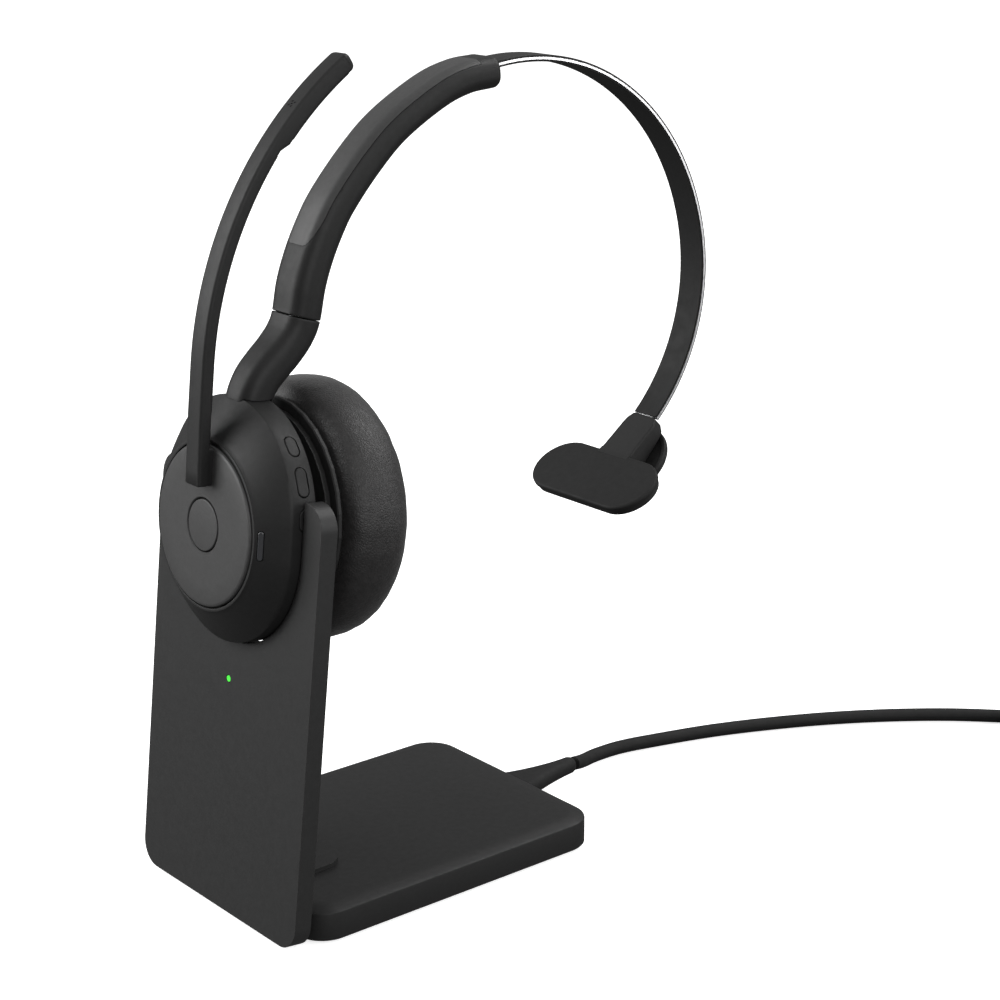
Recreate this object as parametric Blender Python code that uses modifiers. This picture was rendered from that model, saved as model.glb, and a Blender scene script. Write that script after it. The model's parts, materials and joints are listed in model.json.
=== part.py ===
"""Mono wireless office headset docked on its charging stand, with the stand's USB lead.

Lengths in this file are in millimetres and angles in degrees; the helpers turn them into metres.
World frame: +Z up, origin at the centre of the base's rubber foot, plate and microphone boom on
the -Y side, base and headband reaching towards +Y, X across the stand.
"""
import math

import bmesh
import bpy
from mathutils import Matrix, Vector

MM = 0.001
GAP = 0.3                     # clearance between touching pieces
RUNNING = 0.05                # radial clearance of pins in their holes

# ---------------------------------------------------------------- driving dimensions: stand
BASE_WIDTH = 71.0
BASE_LENGTH = 93.5
BASE_TOP_Z = 9.7
BASE_SIDE_TOP_Z = 8.5
BASE_BOTTOM_Z = 0.8
BASE_CORNER_R = 8.5
SHOULDER = 5.0                # width of the rolled edge of the base's top
PLATE_WIDTH = 70.0
PLATE_TOP_V = 113.8           # height of the ears, measured along the plate
PLATE_BOTTOM_V = 1.0
PLATE_THICK = 4.75
PLATE_CORNER_R = 6.4
PLATE_LEAN = 6.15             # degrees back from upright
PLATE_FOOT_Y = -(BASE_LENGTH / 2 + 6.5)
PLATE_WALL = 1.5

# ---------------------------------------------------------------- driving dimensions: ear cup
DISC_V = 102.6                # disc centre, measured up the plate
DISC_PROUD = 10.15            # disc face in front of the plate's front face
DISC_R = 20.15
DISC_THICK = 2.4
BUTTON_R = 6.4
CUP_R = 27.0                  # end radius of the cup's oval
CUP_HALF_STRAIGHT = 3.75      # half of the oval's straight stretch
CUP_CENTRE = 0.85             # oval's centre above the disc's
CREASE_Z = -7.3
RIM_BACK_Z = -14.3
CUP_WALL = 1.5
CRADLE_GAP = 0.5
SPEAKER_CENTRE = 1.9          # ear cushion's centre above the disc's
GIMBAL_Z = -17.6

# ---------------------------------------------------------------- driving dimensions: headband
SEAM_STATION = 6              # index of the swivel seam in the headband's guide points
HEADBAND_GUIDE = [(-38.2, 129.5), (-37.6, 132.9), (-35.4, 136.8), (-32.2, 140.0), (-28.3, 143.4),
                  (-25.1, 147.0), (-23.2, 150.9), (-21.5, 158.5), (-19.0, 165.3), (-15.6, 172.0),
                  (-11.5, 178.2), (-3.3, 187.2), (5.8, 195.0), (18.8, 202.2), (28.0, 205.2),
                  (36.0, 206.0)]
BAND_EXIT = (33.8, 207.2)
BAND_HEADING = 12.1           # degrees above horizontal where the steel band leaves the housing
BAND_ARCS = [(65.5, 90.0), (55.6, 58.2)]
BAND_HIDDEN = 30.0            # degrees of band inside the housing at rest
BAND_WIDTH = 9.0
BAND_THICK = 0.6

# ---------------------------------------------------------------- driving dimensions: boom
BOOM_WIDTH = 6.3
BOOM_ROOT_V = 10.3
BOOM_STRAIGHT_V = 39.5
BOOM_FRONT_Z = 4.3
BOOM_RADIUS = 96.6
BOOM_SWEEP = 54.0
BOOM_THICK = 2.9
MIC_START = 37.0              # degrees along the boom's arc where the microphone section begins
MIC_THICK = 3.9
BOOM_SCREW_V = 15.0
BOOM_STEPS = 18

# ---------------------------------------------------------------- driving dimensions: lead
LEAD_D = 4.0
RELIEF_END = (-2.0, 70.5, 4.6)
LEAD_ROUTE = [(-2.1, 71.5, 4.5), (-3.0, 74.4, 3.8), (-5.1, 78.4, 2.6), (-6.6, 84.0, 2.1),
              (-6.3, 93.0, 2.1), (-3.8, 103.6, 2.1), (2.2, 123.0, 2.1), (9.9, 141.2, 2.1),
              (18.7, 158.2, 2.1), (29.0, 174.3, 2.1), (41.0, 189.5, 2.1), (55.0, 203.5, 2.1),
              (64.0, 212.6, 2.1), (72.3, 221.2, 2.1)]
COIL_CENTRE = (96.0, 197.5)
TIE_ANGLE = 260.0

SHADES = {
    "matte_black": ((0.028, 0.028, 0.029), 0.55, 0.0),
    "satin_black": ((0.040, 0.040, 0.042), 0.42, 0.0),
    "soft_rubber": ((0.020, 0.020, 0.021), 0.75, 0.0),
    "leatherette": ((0.024, 0.023, 0.023), 0.60, 0.0),
    "spring_steel": ((0.62, 0.62, 0.63), 0.22, 1.0),
    "plated_steel": ((0.55, 0.56, 0.58), 0.35, 1.0),
    "circuit_board": ((0.03, 0.16, 0.07), 0.50, 0.0),
    "component_black": ((0.05, 0.05, 0.05), 0.45, 0.0),
    "contact_gold": ((0.80, 0.58, 0.24), 0.25, 1.0),
    "cell_foil": ((0.35, 0.36, 0.38), 0.40, 0.6),
    "lamp_green": ((0.10, 0.80, 0.12), 0.30, 0.0),
    "lamp_smoke": ((0.09, 0.09, 0.10), 0.25, 0.0),
}


# ================================================================ scene helpers
def start_clean():
    for obj in list(bpy.data.objects):
        bpy.data.objects.remove(obj, do_unlink=True)


def new_collection(name):
    made = bpy.data.collections.new(name)
    bpy.context.scene.collection.children.link(made)
    return made


def make_materials():
    made = {}
    for name, (colour, roughness, metallic) in SHADES.items():
        material = bpy.data.materials.new(name)
        material.use_nodes = True
        shader = material.node_tree.nodes["Principled BSDF"]
        shader.inputs["Base Color"].default_value = (*colour, 1.0)
        shader.inputs["Roughness"].default_value = roughness
        shader.inputs["Metallic"].default_value = metallic
        made[name] = material
    return made


def new_frame(name, origin, tilt_x=0.0, parent=None):
    """An empty that carries a local frame; its local X, Y, Z are the frame's axes."""
    frame = bpy.data.objects.new(name, None)
    guides.objects.link(frame)
    frame.location = Vector(origin) * MM
    frame.rotation_euler = (math.radians(tilt_x), 0.0, 0.0)
    frame.parent = parent
    return frame


def add_part(name, bm, shade, frame=None, keep=True):
    """Turn a bmesh in millimetres into a named object, or into a cutter if keep is False."""
    bmesh.ops.scale(bm, vec=(MM, MM, MM), verts=bm.verts)
    mesh = bpy.data.meshes.new(name)
    bm.to_mesh(mesh)
    bm.free()
    obj = bpy.data.objects.new(name, mesh)
    obj.parent = frame
    if keep:
        parts.objects.link(obj)
        mesh.materials.append(materials[shade])
        mesh.shade_smooth()
        mesh.set_sharp_from_angle(angle=math.radians(35))
    else:
        cutters.objects.link(obj)
        obj.hide_render = True
        obj.display_type = "WIRE"
    return obj


def boolean(obj, other, operation):
    modifier = obj.modifiers.new(operation.lower(), "BOOLEAN")
    modifier.operation = operation
    modifier.object = other
    return obj


def cut(obj, cutter):
    return boolean(obj, cutter, "DIFFERENCE")


def bevel(obj, width, segments=2, angle=40.0):
    modifier = obj.modifiers.new("bevel", "BEVEL")
    modifier.width = width * MM
    modifier.segments = segments
    modifier.limit_method = "ANGLE"
    modifier.angle_limit = math.radians(angle)
    return obj


# ================================================================ shape helpers
def spin_to(axis):
    """Rotation that lays a +Z shape along the named axis."""
    if axis == "X":
        return Matrix.Rotation(math.radians(90), 4, "Y")
    if axis == "Y":
        return Matrix.Rotation(math.radians(-90), 4, "X")
    return Matrix.Identity(4)


def rod(name, radius, low, high, shade, frame=None, at=(0, 0), axis="Z", sides=24, keep=True,
        radius_high=None):
    """A cylinder or cone from low to high along an axis, through the two other coordinates."""
    bm = bmesh.new()
    top_radius = radius if radius_high is None else radius_high
    bmesh.ops.create_cone(bm, cap_ends=True, segments=sides, radius1=radius, radius2=top_radius,
                          depth=high - low)
    middle = (low + high) / 2
    centre = {"X": (middle, at[0], at[1]), "Y": (at[0], middle, at[1]), "Z": (at[0], at[1], middle)}
    bmesh.ops.transform(bm, matrix=Matrix.Translation(centre[axis]) @ spin_to(axis), verts=bm.verts)
    return add_part(name, bm, shade, frame, keep)


def block(name, low, high, shade, frame=None, keep=True):
    """A box between two corners."""
    bm = bmesh.new()
    bmesh.ops.create_cube(bm, size=1.0)
    size = Vector(high) - Vector(low)
    centre = (Vector(high) + Vector(low)) / 2
    bmesh.ops.scale(bm, vec=size, verts=bm.verts)
    bmesh.ops.translate(bm, vec=centre, verts=bm.verts)
    return add_part(name, bm, shade, frame, keep)


def arc(centre, radius, start, end, steps):
    """Points of a circular arc, both ends included."""
    points = []
    for i in range(steps + 1):
        angle = math.radians(start + (end - start) * i / steps)
        points.append((centre[0] + radius * math.cos(angle), centre[1] + radius * math.sin(angle)))
    return points


def rounded_rectangle(half_x, half_y, radius, steps=6, centre=(0.0, 0.0)):
    cx, cy = centre
    inner_x = half_x - radius
    inner_y = half_y - radius
    points = []
    for sx, sy, start in ((1, 1, 0), (-1, 1, 90), (-1, -1, 180), (1, -1, 270)):
        points += arc((cx + sx * inner_x, cy + sy * inner_y), radius, start, start + 90, steps)
    return points


def oval(radius, half_straight, centre, count=40):
    """Stadium outline, long axis along the second coordinate."""
    points = []
    for i in range(count):
        angle = 2 * math.pi * (i + 0.5) / count
        lift = half_straight if math.sin(angle) > 0 else -half_straight
        points.append((radius * math.cos(angle), centre + lift + radius * math.sin(angle)))
    return points


def slab(name, loops, low, high, shade, frame=None, keep=True):
    """A flat piece from low to high in z: a filled 2D curve, extruded, then made a mesh."""
    curve = bpy.data.curves.new(name, "CURVE")
    curve.dimensions = "2D"
    curve.fill_mode = "BOTH"
    curve.extrude = (high - low) / 2
    for loop in loops:
        spline = curve.splines.new("POLY")
        spline.points.add(len(loop) - 1)
        for point, (x, y) in zip(spline.points, loop):
            point.co = (x, y, 0.0, 1.0)
        spline.use_cyclic_u = True
    flat = bpy.data.objects.new(name + "_curve", curve)
    guides.objects.link(flat)
    evaluated = flat.evaluated_get(bpy.context.evaluated_depsgraph_get())
    mesh = bpy.data.meshes.new_from_object(evaluated)
    bm = bmesh.new()
    bm.from_mesh(mesh)
    bpy.data.objects.remove(flat, do_unlink=True)
    bpy.data.meshes.remove(mesh)
    bmesh.ops.remove_doubles(bm, verts=bm.verts, dist=0.0005)
    bmesh.ops.translate(bm, vec=(0, 0, (low + high) / 2), verts=bm.verts)
    bmesh.ops.recalc_face_normals(bm, faces=bm.faces)
    return add_part(name, bm, shade, frame, keep)


def turned(name, profile, shade, frame=None, centre=(0.0, 0.0), steps=48, closed=True, keep=True):
    """A turned piece about z: the profile is (radius, z) down the outer side and back inside."""
    bm = bmesh.new()
    verts = [bm.verts.new((r, 0.0, z)) for r, z in profile]
    for a, b in zip(verts, verts[1:]):
        bm.edges.new((a, b))
    if closed:
        bm.edges.new((verts[-1], verts[0]))
    obj = add_part(name, bm, shade, frame, keep)
    obj.location = (centre[0] * MM, centre[1] * MM, 0.0)
    screw = obj.modifiers.new("screw", "SCREW")
    screw.axis = "Z"
    screw.steps = steps
    screw.render_steps = steps
    screw.use_merge_vertices = True
    screw.merge_threshold = 0.00001
    screw.use_smooth_shade = True
    return obj


def loft(name, rings, shade, frame=None, keep=True):
    """A closed solid through rings of equal length, for sections that change along the way."""
    bm = bmesh.new()
    rows = [[bm.verts.new(point) for point in ring] for ring in rings]
    count = len(rows[0])
    for first, second in zip(rows, rows[1:]):
        for i in range(count):
            j = (i + 1) % count
            bm.faces.new((first[i], first[j], second[j], second[i]))
    bm.faces.new(rows[0])
    bm.faces.new(list(reversed(rows[-1])))
    bmesh.ops.recalc_face_normals(bm, faces=bm.faces)
    return add_part(name, bm, shade, frame, keep)


def oval_ring(radius, half_straight, centre, z, count=40):
    return [(x, y, z) for x, y in oval(radius, half_straight, centre, count)]


def smooth_curve(guide, per_span):
    """Catmull-Rom curve through guide points of any dimension."""
    points = [Vector(p) for p in guide]
    padded = [2 * points[0] - points[1]] + points + [2 * points[-1] - points[-2]]
    result = []
    for i in range(1, len(padded) - 2):
        p0, p1, p2, p3 = padded[i - 1:i + 3]
        for k in range(per_span):
            t = k / per_span
            result.append(0.5 * (2 * p1 + (p2 - p0) * t + (2 * p0 - 5 * p1 + 4 * p2 - p3) * t * t
                                 + (3 * p1 - p0 - 3 * p2 + p3) * t * t * t))
    result.append(points[-1])
    return result


def side_frames(points):
    """For a path in the YZ plane: each point with its direction and its outward normal."""
    frames = []
    for i, point in enumerate(points):
        before = points[max(i - 1, 0)]
        after = points[min(i + 1, len(points) - 1)]
        along = (after - before).normalized()
        frames.append((point, along, Vector((-along[1], along[0]))))
    return frames


def side_ring(frame, section):
    """Place a section's (across, outward) points at one station of a YZ path."""
    point, _, normal = frame
    return [(x, point[0] + n * normal[0], point[1] + n * normal[1]) for x, n in section]


def strip(name, frames, half_width, low, high, shade, keep=True):
    """A rectangular bar along a YZ path, from low to high along the path's normal."""
    section = [(-half_width, low), (half_width, low), (half_width, high), (-half_width, high)]
    return loft(name, [side_ring(f, section) for f in frames], shade, None, keep)


def arc_path(start, heading, arcs, step=6.0):
    """Tangent arcs turning clockwise from start; returns 2D points."""
    points = [Vector(start)]
    angle = heading
    for radius, sweep in arcs:
        count = max(1, round(sweep / step))
        turn = sweep / count
        chord = 2 * radius * math.sin(math.radians(turn) / 2)
        for _ in range(count):
            middle = math.radians(angle - turn / 2)
            points.append(points[-1] + chord * Vector((math.cos(middle), math.sin(middle))))
            angle -= turn
    return points


def screw(name, frame, x, y, head_low, head_high, tip, shank_r=0.85, head_r=1.7):
    """A pan-head screw along local z as one turned solid; tip lies beyond the head's far side."""
    if tip < head_low:
        profile = [(0, head_high), (head_r, head_high), (head_r, head_low), (shank_r, head_low),
                   (shank_r, tip), (0, tip)]
    else:
        profile = [(0, tip), (shank_r, tip), (shank_r, head_high), (head_r, head_high),
                   (head_r, head_low), (0, head_low)]
    return turned(name, profile, "plated_steel", frame, (x, y), steps=16, closed=False)


start_clean()
parts = new_collection("docked_office_headset")
cutters = new_collection("cutters")
guides = new_collection("guides")
materials = make_materials()

lean = math.radians(PLATE_LEAN)
plate_up = Vector((0, math.sin(lean), math.cos(lean)))
plate_front = Vector((0, -math.cos(lean), math.sin(lean)))
plate_origin = Vector((0, PLATE_FOOT_Y, 0))
disc_origin = plate_origin + plate_up * DISC_V + plate_front * DISC_PROUD
stand_frame = new_frame("stand_frame", plate_origin, 90 - PLATE_LEAN)
cup_frame = new_frame("cup_frame", disc_origin, 90 - PLATE_LEAN)


# ================================================================ stand plate
def plate_outline(inset):
    """U-shaped outline of the plate; inset moves every wall inwards by that much."""
    half = PLATE_WIDTH / 2 - inset
    corner = PLATE_CORNER_R - inset
    top = PLATE_TOP_V - inset
    bottom = PLATE_BOTTOM_V + inset
    cut_r = CUP_R + CRADLE_GAP + inset
    cut_low = DISC_V + CUP_CENTRE - CUP_HALF_STRAIGHT
    points = arc((-half + corner, bottom + corner), corner, 180, 270, 6)
    points += arc((half - corner, bottom + corner), corner, 270, 360, 6)
    ear_corner = min(corner, half - cut_r - 0.6)
    points += arc((half - ear_corner, top - ear_corner), ear_corner, 0, 90, 6)
    points.append((cut_r, top))
    points += arc((0, cut_low), cut_r, 0, -180, 24)
    points.append((-cut_r, top))
    points += arc((-half + ear_corner, top - ear_corner), ear_corner, 90, 180, 6)
    return points


PLATE_SCREW = (0.0, 34.0)
LAMP_V = 61.9
PIN_DEPTH = -2.6
COVER_THICK = 1.2


def build_plate():
    front = slab("stand_plate_front", [plate_outline(0)], -PLATE_THICK, 0, "satin_black", stand_frame)
    cavity = slab("plate_cavity", [plate_outline(PLATE_WALL)], -PLATE_THICK - 1, -PLATE_WALL, None,
                  stand_frame, keep=False)
    cut(front, cavity)
    lamp_hole = rod("lamp_hole", 0.95, -3, 1, None, stand_frame, (0, LAMP_V), keep=False, sides=20)
    cut(front, lamp_hole)
    for i, x in enumerate((-3.0, 3.0)):
        hole = rod(f"pogo_hole_{i}", 0.75, 66, 78, None, stand_frame, (x, PIN_DEPTH), "Y", 16, keep=False)
        cut(front, hole)

    cover = slab("stand_plate_rear", [plate_outline(PLATE_WALL + GAP)], -PLATE_THICK,
                 -PLATE_THICK + COVER_THICK, "matte_black", stand_frame)
    foot_slot = block("rear_cover_foot_slot", (-17.6, -2, -PLATE_THICK - 1), (17.6, 12.4, 0), None,
                      stand_frame, keep=False)
    cut(cover, foot_slot)
    cut(cover, rod("cover_hole", 1.15, -PLATE_THICK - 1, 0, None, stand_frame, PLATE_SCREW,
                   sides=16, keep=False))
    cut(cover, rod("cover_sink", 2.1, -PLATE_THICK - 1, -PLATE_THICK + 0.6, None, stand_frame,
                   PLATE_SCREW, sides=16, keep=False))
    screw("plate_screw", stand_frame, *PLATE_SCREW, -PLATE_THICK + 0.05, -PLATE_THICK + 0.5, -2.0)

    turned("status_light_pipe", [(0, -0.05), (0.8, -0.05), (0.8, -1.9), (1.5, -1.9), (1.5, -2.3),
                                 (0, -2.3)], "lamp_green", stand_frame, (0, LAMP_V), 20, False)
    block("stand_circuit_board", (-14, 46, -3.45), (14, 68, -2.65), "circuit_board", stand_frame)
    pogo_block = block("charge_pin_block", (-6, 68.4, -3.4), (6, 70.2, -1.8), "component_black",
                       stand_frame)
    for i, x in enumerate((-3.0, 3.0)):
        side = ("left", "right")[i]
        hole = rod(f"pogo_block_hole_{i}", 0.55, 68, 71, None, stand_frame, (x, PIN_DEPTH), "Y", 16,
                   keep=False)
        cut(pogo_block, hole)
        rod(f"charge_pin_{side}", 0.45, 68.7, 72.4, "contact_gold", stand_frame, (x, PIN_DEPTH), "Y",
            16)


# ================================================================ stand base
BASE_SCREWS = [(0, -36), (0, 37)]
MAT_THICK = 0.7
FOOT_TONGUE_TOP = 11.0


def build_base():
    half_x = BASE_WIDTH / 2
    half_y = BASE_LENGTH / 2
    rings = []
    for drop, inset, z in ((0, 0, BASE_BOTTOM_Z), (0, 0, BASE_SIDE_TOP_Z - 0.3),
                           (0, 0.25, BASE_SIDE_TOP_Z), (0, 1.8, BASE_SIDE_TOP_Z + 0.62),
                           (0, 3.4, BASE_TOP_Z - 0.18), (0, SHOULDER, BASE_TOP_Z)):
        outline = rounded_rectangle(half_x - inset, half_y - inset, BASE_CORNER_R - inset, 4)
        rings.append([(x, y, z) for x, y in outline])
    top = loft("base_top_shell", rings, "matte_black")
    hollow = slab("base_hollow", [rounded_rectangle(half_x - 1.8, half_y - 1.8, 6.7, 4)],
                  -1, 7.3, None, None, keep=False)
    cut(top, hollow)
    relief_mouth = block("relief_mouth", (-8.3, half_y - 4, 2.5), (8.3, half_y + 2, 7.6), None, None,
                         keep=False)
    cut(top, relief_mouth)
    tongue_slot = block("tongue_slot", (-16.8, -half_y - 3, 3.0), (16.8, -half_y + 16, 12), None,
                        None, keep=False)
    cut(top, tongue_slot)

    bottom = slab("base_bottom_cover", [rounded_rectangle(half_x - 2.1, half_y - 2.1, 6.4, 4)],
                  BASE_BOTTOM_Z, 2.2, "matte_black")
    for i, (x, y) in enumerate(BASE_SCREWS):
        hole = rod(f"bottom_hole_{i}", 1.15, -1, 4, None, None, (x, y), sides=16, keep=False)
        sink = rod(f"bottom_sink_{i}", 2.1, -1, 1.45, None, None, (x, y), sides=16, keep=False)
        cut(bottom, hole)
        cut(bottom, sink)
        screw(f"base_screw_{i + 1}", None, x, y, 0.9, 1.35, 2.9)
    block("base_ballast", (-27, -26, 2.5), (27, 33, 7.0), "plated_steel")
    slab("foot_mat", [rounded_rectangle(half_x - 4, half_y - 4, 5, 6)], 0, MAT_THICK - 0.2,
         "soft_rubber")


def build_foot_bracket():
    """The moulded foot that joins plate and base: a tongue over the base, a heel in the plate."""
    half_y = BASE_LENGTH / 2
    outline = [(-16.5, -half_y - 1.6), (16.5, -half_y - 1.6), (16.5, -half_y + 9)]
    outline += arc((0, -half_y + 9), 16.5, 0, 180, 16)[1:]
    squashed = [(x, y if y < -half_y + 9 else -half_y + 9 + (y + half_y - 9) * 0.40)
                for x, y in outline]
    tongue = slab("foot_bracket", [squashed], 3.3, FOOT_TONGUE_TOP, "matte_black")
    bevel(tongue, 0.8, 2)


def build_relief():
    """Flared strain relief from the base's back wall to the lead."""
    half_y = BASE_LENGTH / 2
    start_y = half_y - 3.4
    rings = []
    stations = 9
    for i in range(stations):
        t = i / (stations - 1)
        y = start_y + t * (RELIEF_END[1] - start_y)
        flare = (1 - t) ** 1.7
        half_w = 2.35 + 5.6 * flare
        half_h = 2.25 + 0.15 * flare
        x = RELIEF_END[0] * t ** 1.5
        z = 5.05 + (RELIEF_END[2] - 5.05) * t
        section = rounded_rectangle(half_w, half_h, min(half_w, half_h) * 0.85, 3)
        rings.append([(x + sx, y, z + sz) for sx, sz in section])
    loft("strain_relief", rings, "soft_rubber")


# ================================================================ ear cup
SIDE_BUTTONS = [("volume_up_button", 43.0, 2.7), ("middle_button", 23.5, 3.6),
                ("volume_down_button", 4.0, 2.7)]
BUTTON_DEPTH_Z = -11.0
BUTTON_HALF_WIDTH = 1.55
REAR_SCREWS = [(-18, 16), (18, 16)]


def pill(half_long, half_wide, steps=6):
    """Pill outline, long axis along the first coordinate."""
    straight = half_long - half_wide
    return (arc((straight, 0), half_wide, -90, 90, steps)
            + arc((-straight, 0), half_wide, 90, 270, steps))


def radial_frame(name, angle, radius):
    """Frame on the cup's rim: local Z outwards, local X along the rim, local Y to the front."""
    frame = bpy.data.objects.new(name, None)
    guides.objects.link(frame)
    direction = Vector((math.cos(math.radians(angle)), math.sin(math.radians(angle)), 0))
    along = Vector((-direction.y, direction.x, 0))
    centre = Vector((0, CUP_CENTRE + CUP_HALF_STRAIGHT, BUTTON_DEPTH_Z)) + direction * radius
    matrix = Matrix.Identity(4)
    matrix.col[0][:3] = along
    matrix.col[1][:3] = direction.cross(along)
    matrix.col[2][:3] = direction
    matrix.translation = centre * MM
    frame.parent = cup_frame
    frame.matrix_local = matrix
    return frame


def cup_rings(grow=0.0):
    rings = [oval_ring(DISC_R + 1.05 + grow, 0, 0, -0.6 + grow)]
    for t in (0.35, 0.7, 1.0):
        radius = DISC_R + 1.35 + (CUP_R - DISC_R - 1.35) * t + 0.35 * math.sin(math.pi * t)
        rings.append(oval_ring(radius + grow, CUP_HALF_STRAIGHT * t, CUP_CENTRE * t,
                               -0.9 + (CREASE_Z + 0.9) * t))
    rings.append(oval_ring(CUP_R + 0.1 + grow, CUP_HALF_STRAIGHT, CUP_CENTRE, RIM_BACK_Z - grow))
    return rings


def build_cup():
    front = loft("cup_front_housing", cup_rings(), "matte_black", cup_frame)
    cavity = loft("cup_cavity", [
        oval_ring(18.6, 0, 0, -4.3), oval_ring(21.0, 1.5, 0.4, -5.4),
        oval_ring(CUP_R - CUP_WALL, CUP_HALF_STRAIGHT, CUP_CENTRE, -8.6),
        oval_ring(CUP_R - CUP_WALL, CUP_HALF_STRAIGHT, CUP_CENTRE, RIM_BACK_Z - 1)],
        None, cup_frame, keep=False)
    cut(front, cavity)
    cut(front, rod("disc_pocket", DISC_R + 0.35, -2.8, 2, None, cup_frame, sides=48, keep=False))
    cut(front, rod("hub_hole", 9.4, -6, 0, None, cup_frame, sides=32, keep=False))

    for name, angle, half_long in SIDE_BUTTONS:
        frame = radial_frame(name + "_frame", angle, CUP_R)
        slot = slab(name + "_slot", [pill(half_long + 0.2, BUTTON_HALF_WIDTH + 0.2)], -3, 2, None,
                    frame, keep=False)
        cut(front, slot)
        button = slab(name, [pill(half_long, BUTTON_HALF_WIDTH)], -2.2, 0.12, "matte_black", frame)
        bevel(button, 0.2, 2)

    lamp_frame = bpy.data.objects.new("busy_light_frame", None)
    guides.objects.link(lamp_frame)
    lamp_frame.parent = cup_frame
    lamp_frame.location = Vector((22.15, 0.0, -2.0)) * MM
    lamp_frame.rotation_euler = (0, math.radians(50), 0)
    slot = slab("busy_light_slot", [[(y, x) for x, y in pill(3.75, 0.85)]], -2, 3, None, lamp_frame,
                keep=False)
    cut(front, slot)
    slab("busy_light_lens", [[(y, x) for x, y in pill(3.6, 0.7)]], -1.4, 0.45, "lamp_smoke",
         lamp_frame)

    rear = slab("cup_rear_housing", [oval(CUP_R - CUP_WALL - GAP, CUP_HALF_STRAIGHT, CUP_CENTRE)],
                -13.8, -12.85, "matte_black", cup_frame)
    cut(rear, rod("speaker_wire_hole", 2.2, -16, -10, None, cup_frame, (0, SPEAKER_CENTRE), sides=20,
                  keep=False))
    for i, (x, y) in enumerate(REAR_SCREWS):
        cut(rear, rod(f"rear_hole_{i}", 1.15, -16, -10, None, cup_frame, (x, y), sides=16, keep=False))
        screw(f"cup_screw_{i + 1}", cup_frame, x, y, -14.35, -13.9, -10.4)
    for i, x in enumerate((-3.0, 3.0)):
        side = ("left", "right")[i]
        slot = block(f"contact_slot_{i}", (x - 1.2, -32, -13.6), (x + 1.2, -27, -11.4), None, cup_frame,
                     keep=False)
        cut(front, slot)
        block(f"charge_contact_{side}", (x - 0.9, -29.8, -13.3), (x + 0.9, -28.6, -11.7),
              "contact_gold", cup_frame)

    board = slab("cup_circuit_board", [oval(22.5, CUP_HALF_STRAIGHT, CUP_CENTRE, 28)], -8.2, -7.4,
                 "circuit_board", cup_frame)
    cut(board, rod("board_notch", 2.2, -9, -6, None, cup_frame, (0, SPEAKER_CENTRE + 14), sides=16,
                   keep=False))
    block("mute_switch", (-2.2, -2.2, -7.1), (2.2, 2.2, -5.9), "component_black", cup_frame)
    battery = block("battery_cell", (-13, -18, -12.0), (13, 4, -8.6), "cell_foil", cup_frame)
    bevel(battery, 0.8, 2)
    turned("mute_button", [(0, 0.0), (BUTTON_R - 0.25, 0.0), (BUTTON_R, -0.25), (BUTTON_R, -1.6),
                           (2.0, -1.6), (2.0, -5.2), (0, -5.2)], "satin_black", cup_frame,
           steps=32, closed=False)


# ================================================================ microphone boom
def boom_line():
    """Front line of the arm in the (z, y) of the cup frame: straight, then a long arc."""
    points = [Vector((BOOM_ROOT_V, BOOM_FRONT_Z - 0.35)), Vector((18.0, BOOM_FRONT_Z - 0.2)),
              Vector((28.0, BOOM_FRONT_Z))]
    for i in range(BOOM_STEPS + 1):
        angle = math.radians(BOOM_SWEEP * i / BOOM_STEPS)
        points.append(Vector((BOOM_STRAIGHT_V + BOOM_RADIUS * math.sin(angle),
                              BOOM_FRONT_Z - BOOM_RADIUS * (1 - math.cos(angle)))))
    return points


def boom_rings(half_width, low, high, first, last, edge, tip=0.0):
    """Sections across the boom between two stations; low and high are depths below its front."""
    frames = side_frames(boom_line())
    rings = []
    for i in range(first, last + 1):
        point, _, normal = frames[i]
        narrow = half_width - tip * max(0, i - len(frames) + 3) / 2
        section = [(-narrow, high + edge), (-narrow + edge, high), (narrow - edge, high),
                   (narrow, high + edge), (narrow, low), (-narrow, low)]
        rings.append([(x, point[0] - n * normal[0], point[1] - n * normal[1]) for x, n in section])
    return rings


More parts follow.
